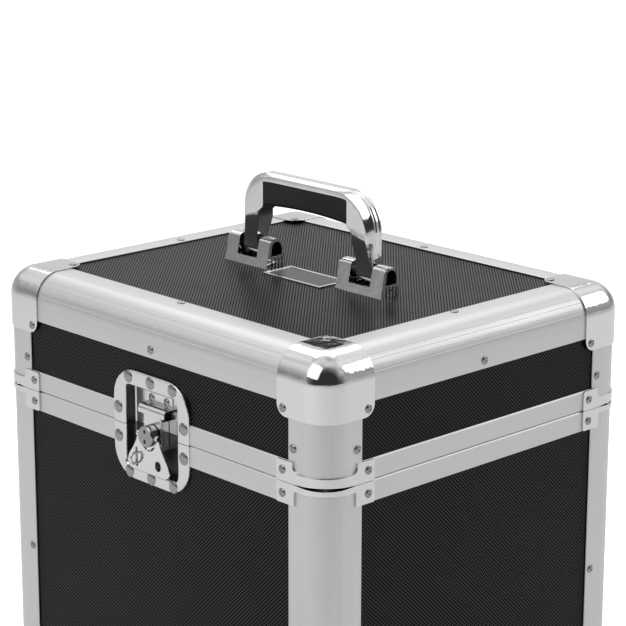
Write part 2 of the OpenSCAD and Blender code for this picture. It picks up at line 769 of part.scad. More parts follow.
// The thumb flap: folded flat over the pocket at rest, and lifted to stand out
// from the case as the key that turns the spindle.
module latch_flap() color(nickel) at_latch() difference() {
    union() {
        face_block(flap_back, flap_back + flap_t) flap_outline();
        for (s = [0, 1]) mirror([s, 0, 0])
            translate([flap_arm_in, -flap_pin_out, spindle_z]) rotate([0, 90, 0])
                cylinder(r = flap_eye_r, h = flap_arm_out - flap_arm_in);
    }
    translate([-far, -flap_pin_out, spindle_z]) rotate([0, 90, 0])
        cylinder(r = flap_pin_r + running, h = 2 * far);
}

// The padlock staple and the carrier arm that holds it under the flap.
module padlock_staple() color(nickel) at_latch() {
    difference() {
        face_block(carrier_low, carrier_high) intersection() {
            union() {
                translate([0, spindle_z]) circle(barrel_r + 1.2);
                polygon([[-8, spindle_z - 3], [3, spindle_z - 8.5], [staple_x + 3.4, staple_z - 5.5],
                    [staple_x - 3.4, staple_z - 5.5], [staple_x - 3.4, staple_z + 4]]);
            }
            translate([0, spindle_z]) circle(carrier_reach);
        }
        face_block(0, 5) translate([0, spindle_z]) circle(barrel_r);
        translate([-far, -5, spindle_z - flap_eye_r - 0.5]) cube([2 * far, 5, far]);
    }
    translate([staple_x, -carrier_high, staple_z]) rotate([0, 0, 180]) {
        for (s = both(staple_bend_r)) translate([0, 0, s]) rotate([-90, 0, 0])
            cylinder(r = staple_wire_r, h = staple_leg);
        translate([0, staple_leg, 0]) rotate([0, 90, 0]) rotate_extrude(angle = 180)
            translate([staple_bend_r, 0]) circle(staple_wire_r);
    }
}

// ------------------------------------------------------------------- handle

panel_face = -wall;     // the top panel's face, below the extrusions' face
handle_x = 2.5;         // the handle sits a little to the right of the middle
bracket_near = 38;
bracket_far = 85.5;
bracket_end = 1;        // how far the front plate stands past the ends behind it
notch_near = 50.5;
notch_far = 72.8;
notch_floor = 5;
notch_back = 7.2;
bracket_wall = 2.5;
hollow_floor = 7.5;
flute_r = 0.9;
flutes = [-4.6, -1.2, 2.2, 5.6];
pivot_pin_r = 2.5;
bolt_xs = [56, 68];
bolt_r = 2;
bolt_head_r = 4;
bolt_head_h = 2.5;
plate_t = 1.5;

module at_handle() translate([handle_x, 0, top_z]) children();
module both_sides() for (s = [0, 1]) mirror([s, 0, 0]) children();
module bolt_places() {
    for (s = [-1, 1], x = bolt_xs) translate([handle_x + s * x, 0, top_z]) children();
}

// A side view, Y across and Z up, drawn out along X between two places.
module along_x(near, beyond) translate([near, 0, 0]) rotate([90, 0, 90])
    linear_extrude(beyond - near) children();

// Side view of a bracket: the front plate leans back, and the roof over the
// pivot runs down into the sloping back.
module bracket_section() {
    polygon([[-11.5, panel_face], [-7.4, 18.4], [-6, 19.9], [-3.4, 20.8], [0, 21], [2.6, 20.2],
        [4.8, 18.2], [6.2, 15.5], [7, 12.2], [10, panel_face]]);
}

module front_plate_section() {
    polygon([[-11.5, panel_face], [-7.4, 18.4], [-6.4, 19.3], [-4.6, 18.9], [-8.2, panel_face]]);
}

// The hollow in a bracket's end, below its arched roof.
module bracket_hollow() {
    translate([-5.4, hollow_floor]) square([11.2, 12.7 - hollow_floor]);
    translate([0.2, 12.7]) circle(5.6);
}

// One of the upright flutes in a bracket's end, below the hollow.
module flute(x) translate([x, 0, panel_face - 1]) cylinder(r = flute_r, h = hollow_floor - panel_face - 0.5);

module bracket() {
    difference() {
        union() {
            along_x(bracket_near + bracket_end, bracket_far - bracket_end) bracket_section();
            along_x(bracket_near, bracket_far) front_plate_section();
        }
        along_x(bracket_near - 1, notch_near - bracket_wall) bracket_hollow();
        along_x(notch_far + bracket_wall, bracket_far + 1) bracket_hollow();
        for (y = flutes) translate([0, y, 0]) {
            flute(bracket_near + bracket_end);
            flute(bracket_far - bracket_end);
        }
        translate([notch_near, -far, notch_floor]) cube([notch_far - notch_near, far + notch_back, far]);
        translate([0, 0, pivot_h]) rotate([0, 90, 0]) cylinder(r = pivot_pin_r, h = 2 * far);
        for (x = bolt_xs) translate([x, 0, panel_face - 1]) cylinder(r = bolt_r, h = 5);
    }
}

module handle_bracket_right() color(nickel) at_handle() bracket();
module handle_bracket_left() color(nickel) at_handle() mirror([1, 0, 0]) bracket();

module handle_pivot_pins() color(rivet_steel) at_handle() both_sides()
    translate([notch_near - bracket_wall, 0, pivot_h]) rotate([0, 90, 0])
        cylinder(r = pivot_pin_r, h = notch_far - notch_near + 2 * bracket_wall);

module handle_backing_plates() color(rivet_steel) at_handle() both_sides() difference() {
    translate([bracket_near + 4, -9, -channel - plate_t]) cube([40, 18, plate_t]);
    for (x = bolt_xs) translate([x, 0, -channel - plate_t - 1]) cylinder(r = bolt_r, h = plate_t + 2);
}

module handle_bolts() color(rivet_steel) bolt_places() {
    translate([0, 0, -channel - plate_t]) cylinder(r = bolt_r, h = channel + plate_t + panel_face + 4);
    translate([0, 0, -channel - plate_t - bolt_head_h]) cylinder(r = bolt_head_r, h = bolt_head_h);
}

badge_w = 63;
badge_d = 29.5;
badge_t = 1;
badge_rim = 2.2;
badge_field = 0.4;
badge_y = -6.5;
module badge_plate() color(nickel) at_handle() translate([0, badge_y, panel_face]) difference() {
    linear_extrude(badge_t) round_rect(-badge_w / 2, -badge_d / 2, badge_w / 2, badge_d / 2, 1.5);
    translate([0, 0, badge_t - badge_field]) linear_extrude(1)
        round_rect(-badge_w / 2 + badge_rim, -badge_d / 2 + badge_rim,
            badge_w / 2 - badge_rim, badge_d / 2 - badge_rim, 1);
}

bail_corner = 29;
bail_edge = 4;        // half depth of the bail's grooved outside
bail_depth = 8;       // half depth of the bow
bail_facet = [5, 2];  // the facet between them, on the sides and on the top
bow_low = 36;
opening_half_w = 45.6;
arch_top = 49;
arch_r = 424;
grip_high = 66;
grip_recess = 0.8;
arch_low = 46;        // the opening widens from here to the legs
leg_high = 41.5;
leg_in = 51;
ankle_h = 22;         // the legs are straight below this height
ankle_facet = 2;
foot_in = 53.9;
foot_out = 70.7;
bail_foot_r = 6;

module side_on(depth) translate([0, depth, 0]) rotate([90, 0, 0]) linear_extrude(2 * depth) children();

// Front view of the outside of the bow.
module bow_outline(half, top, corner) {
    translate([-half + corner, bow_low]) square([2 * (half - corner), top - bow_low]);
    translate([-half, bow_low]) square([2 * half, top - corner - bow_low]);
    intersection() {
        for (s = both(half - corner)) translate([s, top - corner]) circle(corner);
        translate([-far * 2, bow_low]) square(far * 4);
    }
}

// The solid bow, with facets between its flat faces and its grooved outside.
module bow() hull() {
    side_on(bail_edge) bow_outline(bail_half_w, bail_top, bail_corner);
    side_on(bail_depth)
        bow_outline(bail_half_w - bail_facet[0], bail_top - bail_facet[1], bail_corner + 3);
}

// A leg's cross-section at a height: its inside and outside, half its depth,
// and the facet along its outer edges.
module leg_slice(z, x_in, x_out, depth, facet) translate([0, 0, z]) linear_extrude(0.01)
    polygon([[x_in, -depth], [x_out - facet, -depth], [x_out, -depth + facet * 0.8],
        [x_out, depth - facet * 0.8], [x_out - facet, depth], [x_in, depth]]);

// A leg runs from the bow down to the foot between the bracket's ears.
module leg() {
    hull() {
        leg_slice(bow_low, leg_in, bail_half_w, bail_depth, bail_facet[0]);
        leg_slice(ankle_h, foot_in, foot_out, bail_foot_r + 0.2, ankle_facet);
    }
    hull() {
        leg_slice(ankle_h, foot_in, foot_out, bail_foot_r + 0.2, ankle_facet);
        leg_slice(pivot_h, foot_in, foot_out, bail_foot_r, 1);
    }
}

// The hand space under the grip's arch, wider below it, between the legs.
module bail_opening() {
    intersection() {
        translate([-opening_half_w, 0]) square([2 * opening_half_w, arch_top + 1]);
        translate([0, arch_top - arch_r]) circle(arch_r, $fn = 1440);
    }
    polygon([[-leg_in, 0], [-leg_in, leg_high], [-opening_half_w, arch_low],
        [opening_half_w, arch_low], [leg_in, leg_high], [leg_in, 0]]);
}

// The space in the bow for the grip, right through it.
module grip_space() side_on(bail_depth + 1)
    round_rect(-opening_half_w, bow_low, opening_half_w, grip_high, 2);

// Two grooves round the outside of the bow.
bail_grooves = [-1.9, 1.9];
groove_half = 0.7;
groove_deep = 0.8;
module bow_grooves() for (y = bail_grooves) translate([0, y, 0]) side_on(groove_half) difference() {
    bow_outline(bail_half_w + 2, bail_top + 2, bail_corner + 2);
    bow_outline(bail_half_w - groove_deep, bail_top - groove_deep, bail_corner - groove_deep);
    translate([-far * 2, 0]) square([far * 4, bow_low + 2]);
}

module handle_bail() color(nickel) at_handle() difference() {
    union() {
        bow();
        both_sides() {
            leg();
            translate([foot_in, 0, pivot_h]) rotate([0, 90, 0])
                cylinder(r = bail_foot_r, h = foot_out - foot_in);
        }
    }
    side_on(bail_depth + 1) bail_opening();
    grip_space();
    bow_grooves();
    translate([-far * 2, 0, pivot_h]) rotate([0, 90, 0]) cylinder(r = pivot_pin_r + running, h = 4 * far);
}

// The black grip fills the bow.
module handle_grip() color(rubber_black) at_handle() difference() {
    intersection() {
        grip_space();
        side_on(bail_depth - grip_recess) translate([-far * 2, 0]) square(far * 4);
    }
    side_on(bail_depth + 1) bail_opening();
}

// --------------------------------------------------------------------- nodes

base_front_panel();
base_back_panel();
base_left_panel();
base_right_panel();
bottom_panel();
base_corner_posts();
bottom_edges();
base_rim_front();
base_rim_back();
base_rim_left();
base_rim_right();
lower_corner_braces();
bottom_corner_caps();
rubber_feet();
base_wall_foam();
base_floor_foam();
base_rivets();
latch_dish_base();
latch_base_rivets();
hinge_base_leaves();
hinge_pins();
top_panel();
lid_front_panel();
lid_back_panel();
lid_left_panel();
lid_right_panel();
top_edge_front();
top_edge_back();
top_edge_left();
top_edge_right();
lid_corner_posts();
lid_rim_front();
lid_rim_back();
lid_rim_left();
lid_rim_right();
upper_corner_braces();
top_cap_front_left();
top_cap_front_right();
top_cap_back_left();
top_cap_back_right();
lid_foam();
lid_rivets();
latch_dish_lid();
latch_catch();
latch_lid_rivets();
hinge_lid_leaves();
handle_bracket_left();
handle_bracket_right();
handle_pivot_pins();
handle_bolts();
handle_backing_plates();
badge_plate();
handle_bail();
handle_grip();
latch_spindle();
padlock_staple();
latch_flap_pin();
latch_flap();
latch_strap();
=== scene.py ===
"""The looks of a record carrying case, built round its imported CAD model."""

import math

import bmesh
import bpy
from mathutils import Matrix, Vector

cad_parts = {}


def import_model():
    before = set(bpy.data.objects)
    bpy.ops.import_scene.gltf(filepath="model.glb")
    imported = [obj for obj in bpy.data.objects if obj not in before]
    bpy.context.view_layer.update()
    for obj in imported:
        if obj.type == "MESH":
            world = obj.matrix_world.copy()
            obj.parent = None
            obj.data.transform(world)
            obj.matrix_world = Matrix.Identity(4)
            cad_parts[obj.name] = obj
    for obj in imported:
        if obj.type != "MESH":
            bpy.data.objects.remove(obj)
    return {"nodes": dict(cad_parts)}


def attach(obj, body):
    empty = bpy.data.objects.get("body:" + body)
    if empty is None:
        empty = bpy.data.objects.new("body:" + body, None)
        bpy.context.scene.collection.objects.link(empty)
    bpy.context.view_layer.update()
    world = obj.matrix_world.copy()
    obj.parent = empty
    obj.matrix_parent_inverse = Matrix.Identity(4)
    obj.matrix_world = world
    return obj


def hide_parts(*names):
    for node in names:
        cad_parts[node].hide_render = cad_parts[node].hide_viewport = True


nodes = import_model()["nodes"]
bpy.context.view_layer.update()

# ------------------------------------------------------------ photographer
# The view of the photograph: a long lens from the front right, a little above
# the lid, that crops the lower part of the case.
PHOTO_SIDE = 626
FOCAL_PIXELS = 2171.2
CENTRE_PIXELS = (305.5, 261.6)
AZIMUTH, ELEVATION, ROLL = 46.788, 13.888, 0.063
CAMERA_PLACE = (1.16002, -1.09331, 0.79742)

camera_data = bpy.data.cameras.new("photograph_view")
camera_data.sensor_width = 36
camera_data.lens = FOCAL_PIXELS / PHOTO_SIDE * camera_data.sensor_width
camera_data.shift_x = (PHOTO_SIDE / 2 - CENTRE_PIXELS[0]) / PHOTO_SIDE
camera_data.shift_y = (CENTRE_PIXELS[1] - PHOTO_SIDE / 2) / PHOTO_SIDE
camera_data.clip_start = 0.05
camera = bpy.data.objects.new("photograph_view", camera_data)
azimuth, elevation = math.radians(AZIMUTH), math.radians(ELEVATION)
back = Vector((math.sin(azimuth) * math.cos(elevation),
               -math.cos(azimuth) * math.cos(elevation), math.sin(elevation)))
turn = (-back).to_track_quat("-Z", "Y").to_matrix() @ Matrix.Rotation(math.radians(ROLL), 3, "Z")
camera.matrix_world = Matrix.Translation(CAMERA_PLACE) @ turn.to_4x4()
bpy.context.scene.collection.objects.link(camera)
bpy.context.scene.camera = camera
bpy.context.scene.view_settings.view_transform = "Standard"

# ------------------------------------------------------------------ studio
# A white sweep of paper under three softboxes, in a pale room of uneven walls
# that is dark behind the camera and bright behind the case.


class Wire:
    """One socket's value in a node tree. Python's operators add Math nodes."""

    def __init__(self, tree, socket):
        self.tree, self.socket = tree, socket

    def math(self, operation, *others):
        return self.tree.add("ShaderNodeMath", {"operation": operation},
                             dict(enumerate((self, *others))))

    def __add__(self, other):
        return self.math("ADD", other)

    def __sub__(self, other):
        return self.math("SUBTRACT", other)

    def __mul__(self, other):
        return self.math("MULTIPLY", other)

    def __truediv__(self, other):
        return self.math("DIVIDE", other)

    def __rsub__(self, other):
        return (self * -1) + other

    def __abs__(self):
        return self.math("ABSOLUTE")

    __radd__, __rmul__ = __add__, __mul__

    def least(self, other):
        return self.math("MINIMUM", other)

    def most(self, other):
        return self.math("MAXIMUM", other)

    def fraction(self):
        return self.math("FRACT")

    def step(self, low, high):
        """0 below low, 1 above high, smooth between."""
        return self.tree.add("ShaderNodeMapRange", {"interpolation_type": "SMOOTHSTEP"},
                             {"Value": self, "From Min": low, "From Max": high})


class Tree:
    """A node tree that is filled by one method."""

    def __init__(self, tree):
        self.tree = tree

    def feed(self, socket, value):
        if isinstance(value, Wire):
            self.tree.links.new(value.socket, socket)
        else:
            socket.default_value = value

    def add(self, kind, settings=None, values=None, out=0):
        """A node of a kind, with its settings made first and its sockets fed after."""
        node = self.tree.nodes.new(kind)
        for name, value in (settings or {}).items():
            if name == "stops":
                ramp = node.color_ramp.elements
                while len(ramp) < len(value):
                    ramp.new(0.5)
                for element, (place, colour) in zip(ramp, value):
                    element.position, element.color = place, colour
            else:
                setattr(node, name, value)
        for name, value in (values or {}).items():
            self.feed(node.inputs[name], value)
        return Wire(self, node.outputs[out]) if node.outputs else None


SOFTBOXES = (
    # azimuth and elevation as seen from the case, width, height, radiance
    (-94, 39, 1.9, 1.9, 1.7),
    (55, 28, 1.2, 1.0, 1.9),
    (140, 55, 2.2, 1.6, 1.1),
)
SOFTBOX_DISTANCE = 2.4
AIM = Vector((0, 0, 0.3))
for number, (bearing, rise, width, height, radiance) in enumerate(SOFTBOXES):
    light = bpy.data.lights.new(f"softbox_{number}", "AREA")
    light.shape, light.size, light.size_y = "RECTANGLE", width, height
    light.energy = radiance * math.pi * width * height
    bearing, rise = math.radians(bearing), math.radians(rise)
    away = Vector((math.cos(rise) * math.cos(bearing), math.cos(rise) * math.sin(bearing), math.sin(rise)))
    facing = away.to_track_quat("Z", "Y").to_matrix().to_4x4()
    lamp = bpy.data.objects.new(light.name, light)
    lamp.matrix_world = Matrix.Translation(AIM + away * SOFTBOX_DISTANCE) @ facing
    bpy.context.scene.collection.objects.link(lamp)

world = bpy.data.worlds.new("white_studio")
bpy.context.scene.world = world
world.use_nodes = True
world.node_tree.nodes.clear()
sky = Tree(world.node_tree)
WALLS = (
    # place from the floor at 0 to the ceiling at 1, and how bright it is
    (0.0, 0.5), (0.5, 0.5), (0.52, 0.42), (0.64, 0.5), (0.72, 0.8), (0.85, 1.0), (1.0, 0.8),
)
BEHIND_CASE, BEHIND_CAMERA = 0.8, 0.04
direction = sky.add("ShaderNodeTexCoord", None, None, "Generated")
upwards = sky.add("ShaderNodeSeparateXYZ", None, {0: direction}, "Z")
walls = sky.add("ShaderNodeValToRGB", {"stops": [(place, (grey, grey, grey, 1)) for place, grey in WALLS]},
                {0: upwards * 0.5 + 0.5})
clutter = sky.add("ShaderNodeTexNoise", None, {"Vector": direction, "Scale": 2.3, "Detail": 2.0})
walls = sky.add("ShaderNodeMix", {"data_type": "RGBA", "blend_type": "MULTIPLY"},
                {0: 1.0, 6: walls, 7: clutter.step(0.3, 0.62) * 0.55 + 0.6}, 2)
towards_camera = sky.add("ShaderNodeVectorMath", {"operation": "DOT_PRODUCT"},
                         {0: direction, 1: (math.sin(azimuth), -math.cos(azimuth), 0)}, "Value")
for share, grey in (((towards_camera * -1).step(0.75, 0.92), BEHIND_CASE),
                    (towards_camera.step(0.2, 0.75), BEHIND_CAMERA)):
    walls = sky.add("ShaderNodeMix", {"data_type": "RGBA"},
                    {0: share, 6: walls, 7: (grey, grey, grey, 1)}, 2)
seen = sky.add("ShaderNodeLightPath", None, None, "Is Camera Ray")
glow = sky.add("ShaderNodeMix", {"data_type": "RGBA"}, {0: seen, 6: walls, 7: (1, 1, 1, 1)}, 2)
sky.add("ShaderNodeOutputWorld", None,
        {0: sky.add("ShaderNodeBackground", None, {"Color": glow, "Strength": 1.0})})


def material(name, colour, rough, metallic=0.0, **more):
    """A new material and its tree, with a Principled shader's plain values."""
    made = bpy.data.materials.new(name)
    made.use_nodes = True
    tree = Tree(made.node_tree)
    shader = made.node_tree.nodes["Principled BSDF"]
    shader.inputs["Base Color"].default_value = (*colour, 1)
    shader.inputs["Roughness"].default_value = rough
    shader.inputs["Metallic"].default_value = metallic
    for socket, value in more.items():
        shader.inputs[socket.replace("_", " ")].default_value = value
    return made, tree, shader


def place_of(tree):
    """The point on the piece, in millimetres."""
    point = tree.add("ShaderNodeTexCoord", None, None, "Object")
    return tree.add("ShaderNodeVectorMath", {"operation": "SCALE"}, {0: point, "Scale": 1000})


def noise(tree, point, scale, detail=2):
    return tree.add("ShaderNodeTexNoise", None, {"Vector": point, "Scale": scale, "Detail": detail})


def shades(tree, factor, dark, light):
    return tree.add("ShaderNodeMix", {"data_type": "RGBA"},
                    {0: factor, 6: (*dark, 1), 7: (*light, 1)}, 2)


def bump(tree, height, depth, strength=1.0):
    return tree.add("ShaderNodeBump", None,
                    {"Height": height, "Distance": depth, "Strength": strength})


PAPER_GLOW, PAPER_REACH = 0.55, 6
paper, paper_tree, paper_shader = material("white_paper", (0.9, 0.9, 0.9), 0.9)
paper_tree.feed(paper_shader.inputs["Roughness"], noise(paper_tree, place_of(paper_tree), 0.2) * 0.1 + 0.85)
seen = paper_tree.add("ShaderNodeLightPath", None, None, "Is Camera Ray")
paper_tree.feed(paper_shader.inputs["Emission Color"], shades(paper_tree, seen, (0, 0, 0), (1, 1, 1)))
paper_shader.inputs["Emission Strength"].default_value = PAPER_GLOW
floor_mesh = bpy.data.meshes.new("paper_floor")
paper_corners = [(x * PAPER_REACH, y * PAPER_REACH, 0) for x, y in ((-1, -1), (1, -1), (1, 1), (-1, 1))]
floor_mesh.from_pydata(paper_corners, [], [(0, 1, 2, 3)])
floor_mesh.materials.append(paper)
floor = bpy.data.objects.new("paper_floor", floor_mesh)
bpy.context.scene.collection.objects.link(floor)

# ------------------------------------------------------------------ panels
# Nine millimetre plywood faced with a black plastic laminate, whose surface is
# embossed with fine raised diamonds in rows along both diagonals.
DIAMOND_PITCH = 2.08
DIAMOND_DEPTH = 0.0004
# The grooves between the raised diamonds are painted darker than the points: painted shade in the recesses.
LAMINATE_GROOVE_SHADE = (0.001, 0.001, 0.001)
LAMINATE_POINT = (0.007, 0.007, 0.0073)


def laminate(name, first, second):
    """The diamonds lie in the plane of two of the coordinates."""
    made, tree, shader = material(name, LAMINATE_POINT, 0.42, Specular_IOR_Level=0.03,
                                  Coat_Roughness=0.28, Coat_IOR=1.42)
    point = place_of(tree)
    p, q = (tree.add("ShaderNodeSeparateXYZ", None, {0: point}, axis) for axis in (first, second))
    rows = [abs((line / (DIAMOND_PITCH * math.sqrt(2))).fraction() - 0.5) * 2
            for line in (p + q, p - q)]
    raised = 1 - rows[0].most(rows[1])
    # Painted shade: the grooves get the darker colour, the raised points the lighter one.
    colour = shades(tree, raised.step(0.2, 0.6), LAMINATE_GROOVE_SHADE, LAMINATE_POINT)
    tree.feed(shader.inputs["Base Color"], colour)
    tree.feed(shader.inputs["Roughness"], 0.36 + noise(tree, point, 0.03) * 0.14)
    tree.feed(shader.inputs["Coat Weight"], raised.step(0.3, 0.55))
    tree.feed(shader.inputs["Normal"], bump(tree, raised.least(0.7), DIAMOND_DEPTH))
    return made


PANELS = {
    ("X", "Y"): ("top_panel", "bottom_panel"),
    ("X", "Z"): ("base_front_panel", "base_back_panel", "lid_front_panel", "lid_back_panel"),
    ("Y", "Z"): ("base_left_panel", "base_right_panel", "lid_left_panel", "lid_right_panel"),
}


def dress(node, finish):
    """A CAD node whose shape is right gets its finish."""
    nodes[node].data.materials.clear()
    nodes[node].data.materials.append(finish)


for (first, second), names in PANELS.items():
    finish = laminate(f"laminate_{first}{second}".lower(), first, second)
    for name in names:
        dress(name, finish)

# -------------------------------------------------------------- extrusions
# Satin anodised aluminium edges, pressed through a die that leaves fine lines
# along them. Their ends are mitred under the corner caps.
MM = 0.001
CASE_W, CASE_D = 360, 310.6
BOTTOM, SEAM, TOP = 9, 302.8, 394
WALL, PANEL_T, EDGE_R = 1.5, 9, 20.5
CHANNEL = WALL + PANEL_T
INNER = CHANNEL + WALL
PANEL_START, INNER_LEG = 20, 24
POST_LEG, TOP_LEG, SIDE_LEG = 35.4, 33.8, 35.8
POST_ENDS = (6.7, 5.3)
TOP_GROOVES = (14, 25, 36, 47, 80)
ALUMINIUM, ALUMINIUM_SHADE = (0.635, 0.635, 0.64), (0.60, 0.60, 0.605)
DIE_LINES_ACROSS, DIE_LINES_ALONG = 1.6, 0.004


def aluminium(name, along):
    """Anodised metal with die lines along one axis."""
    made, tree, shader = material(name, ALUMINIUM, 0.34, 1.0)
    stretch = [DIE_LINES_ALONG if axis == along else DIE_LINES_ACROSS for axis in "XYZ"]
    point = tree.add("ShaderNodeMapping", {"vector_type": "POINT"},
                     {"Vector": place_of(tree), "Scale": stretch})
    lines = noise(tree, point, 1.0, 3)
    cloud = noise(tree, place_of(tree), 0.02, 3)
    colour = shades(tree, lines.step(0.35, 0.65), ALUMINIUM_SHADE, ALUMINIUM)
    tree.feed(shader.inputs["Base Color"], colour)
    tree.feed(shader.inputs["Roughness"], 0.38 + lines * 0.06 + cloud * 0.08)
    tree.feed(shader.inputs["Normal"], bump(tree, lines, 0.00002, 0.6))
    return made


ALONG = {axis: aluminium(f"aluminium_{axis}".lower(), axis) for axis in "XYZ"}


def arc(centre, radius, start, end, steps):
    """Points of an arc in a plane, angles in degrees."""
    angles = [math.radians(start + (end - start) * i / steps) for i in range(steps + 1)]
    return [(centre[0] + radius * math.cos(a), centre[1] + radius * math.sin(a)) for a in angles]


def corner_arc(radius, grooves, groove_depth=0.15, groove_half=0.7):
    """The rounded outside of an extrusion, with narrow grooves pressed into it."""
    angles = {float(a) for a in range(0, 91, 3)}
    for groove in grooves:
        angles = {a for a in angles if abs(a - groove) > 2 * groove_half}
        angles |= {groove - groove_half, groove - groove_half / 2, groove,
                   groove + groove_half / 2, groove + groove_half}
    points = []
    for angle in sorted(angles):
        near = min([abs(angle - g) for g in grooves], default=9)
        r = radius - groove_depth * max(0, 1 - (near / groove_half) ** 2)
        turned = math.radians(180 + angle)
        points.append((radius + r * math.cos(turned), radius + r * math.sin(turned)))
    return points


def edge_section(leg_x, leg_y, grooves=()):
    """Outer and inner outline of an edge: flanges along X and Y, corner at 0."""
    lip = WALL / 2
    outside = [*arc((lip, leg_y - lip), lip, 0, 180, 6), *corner_arc(EDGE_R, grooves),
               *arc((leg_x - lip, lip), lip, -90, 90, 6),
               (PANEL_START, WALL), (PANEL_START, CHANNEL), (INNER_LEG, CHANNEL), (INNER_LEG, INNER),
               (INNER, INNER), (INNER, INNER_LEG), (CHANNEL, INNER_LEG), (CHANNEL, PANEL_START),
               (WALL, PANEL_START)]
    web = PANEL_START - WALL
    hollow = [(web, WALL), (web, CHANNEL), (CHANNEL, CHANNEL), (CHANNEL, web), (WALL, web),
              *arc((EDGE_R, EDGE_R), EDGE_R - WALL, 184, 266, 16)]
    return outside, hollow


def mesh_of(form, name):
    """A mesh from a bmesh in millimetres, in metres, its faces outwards."""
    bmesh.ops.recalc_face_normals(form, faces=form.faces)
    bmesh.ops.scale(form, vec=(MM, MM, MM), verts=form.verts)
    mesh = bpy.data.meshes.new(name)
    form.to_mesh(mesh)
    form.free()
    mesh.shade_smooth()
    return mesh


def join_rings(form, one, other):
    """Faces between two closed rings of as many points."""
    for i in range(len(one)):
        k = (i + 1) % len(one)
        form.faces.new((one[i], one[k], other[k], other[i]))


def run_of(section, length, mitres):
    """A length along +Z of an outline with a hollow; mitred ends stop at the
    depth of each point, so that three edges meet in a corner."""
    form = bmesh.new()
    ends = [[[form.verts.new((x, y, end + inwards * max(x, y, EDGE_R) * mitred)) for x, y in outline]
             for outline in section]
            for end, inwards, mitred in ((0, 1, mitres[0]), (length, -1, mitres[1]))]
    for low, high in zip(*ends):
        join_rings(form, low, high)
    for end in ends:
        sides = [form.edges.get((ring[i], ring[(i + 1) % len(ring)]))
                 for ring in end for i in range(len(ring))]
        bmesh.ops.triangle_fill(form, use_beauty=True, edges=sides, normal=(0, 0, 1))
    return form


def placed(form, *matrices):
    """Copies of a form, each moved by its matrix, in one new form."""
    whole = bmesh.new()
    source = bpy.data.meshes.new("one")
    form.to_mesh(source)
    form.free()
    for matrix in matrices:
        copy = source.copy()
        copy.transform(matrix)
        whole.from_mesh(copy)
        bpy.data.meshes.remove(copy)
    bpy.data.meshes.remove(source)
    return whole


def piece(name, mesh, finish, body, stands_for=(), sharp=30):
    """A finished piece on its body, in the place of CAD nodes."""
    mesh.materials.clear()
    mesh.materials.append(finish)
    if not mesh.has_custom_normals:
        mesh.shade_smooth()
        mesh.set_sharp_from_angle(angle=math.radians(sharp))
    made = bpy.data.objects.new(name, mesh)
    bpy.context.scene.collection.objects.link(made)
    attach(made, body)
    if stands_for:
        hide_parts(*stands_for)
    return made


def axes(x, y, z, place=(0, 0, 0)):
    """The matrix that sends the X, Y and Z axes to three directions."""
    return Matrix.Translation(place) @ Matrix((x, y, z)).transposed().to_4x4()


HALF_W, HALF_D = CASE_W / 2, CASE_D / 2
BOTH = (-1, 1)
CORNERS = [(sx, sy) for sx in BOTH for sy in BOTH]


def corner(sx, sy, z, up=1):
    """The matrix from a piece made with its corner at 0 and its legs along
    +X +Y +Z to one corner of the case."""
    return axes((-sx, 0, 0), (0, -sy, 0), (0, 0, up), (sx * HALF_W, sy * HALF_D, z))


def posts(low, high, mitres, stub):
    """The four corner posts, with the inside flange carried on to the seam."""
    run = run_of(edge_section(POST_LEG, POST_LEG), high - low, mitres)
    angle = [(CHANNEL, CHANNEL), (INNER_LEG, CHANNEL), (INNER_LEG, INNER), (INNER, INNER),
             (INNER, INNER_LEG), (CHANNEL, INNER_LEG)]
    flange = run_of([angle], abs(stub[1] - stub[0]), (0, 0))
    whole = bmesh.new()
    for form, z in ((run, low), (flange, min(stub))):
        part = placed(form, *[corner(sx, sy, z) for sx, sy in CORNERS])
        mesh = bpy.data.meshes.new("part")
        part.to_mesh(mesh)
        part.free()
        whole.from_mesh(mesh)
        bpy.data.meshes.remove(mesh)
    return whole


SEAM_GAP = 0.15
POST_TOP, POST_BOTTOM = SEAM - POST_ENDS[1], SEAM + POST_ENDS[0]
for half, form in (("lid", posts(POST_BOTTOM, TOP, (0, 1), (SEAM + SEAM_GAP, POST_BOTTOM))),
                   ("base", posts(BOTTOM, POST_TOP, (1, 0), (POST_TOP, SEAM - SEAM_GAP)))):
    piece(f"{half}_posts", mesh_of(form, f"{half}_posts"), ALONG["Z"], half,
          [f"{half}_corner_posts"])
for name, sx, sy in (("front", 0, -1), ("back", 0, 1), ("left", -1, 0), ("right", 1, 0)):
    length, way = (CASE_W, (1, 0, 0)) if sy else (CASE_D, (0, 1, 0))
    start = (-HALF_W, sy * HALF_D) if sy else (sx * HALF_W, -HALF_D)
    for half, down, z, grooves, node in (("lid", -1, TOP, TOP_GROOVES, f"top_edge_{name}"),
                                         ("base", 1, BOTTOM, (), "bottom_edges")):
        form = placed(run_of(edge_section(TOP_LEG, SIDE_LEG, grooves), length, (1, 1)),
                      axes((-sx, -sy, 0), (0, 0, down), way, (*start, z)))
        piece(f"{half}_edge_{name}", mesh_of(form, name), ALONG["X" if sy else "Y"], half,
              [node])
for axis, sides in (("X", ("front", "back")), ("Y", ("left", "right"))):
    for side in sides:
        for half in ("base", "lid"):
            dress(f"{half}_rim_{side}", ALONG[axis])

# ------------------------------------------------------------- corner caps
# Chromed steel pressings, drawn into a ball over the three rounded edges that
# meet in each corner.
CAP_LEG, CAP_T, CAP_ROUND = 45.5, 1.2, 9


def plated(name, colour, rough):
    """Polished plate with a trace of haze where hands have been."""
    made, tree, shader = material(name, colour, rough, 1.0)
    point = place_of(tree)
    haze = noise(tree, point, 0.05, 4)
    tree.feed(shader.inputs["Roughness"], rough + haze * rough)
    tree.feed(shader.inputs["Normal"], bump(tree, noise(tree, point, 0.09, 2), 0.0005, 0.5))
    return made


CHROME = plated("polished_chrome", (0.65, 0.65, 0.66), 0.06)
NICKEL = plated("bright_nickel", (0.64, 0.635, 0.63), 0.13)
STEEL = plated("rivet_steel", (0.30, 0.30, 0.305), 0.12)


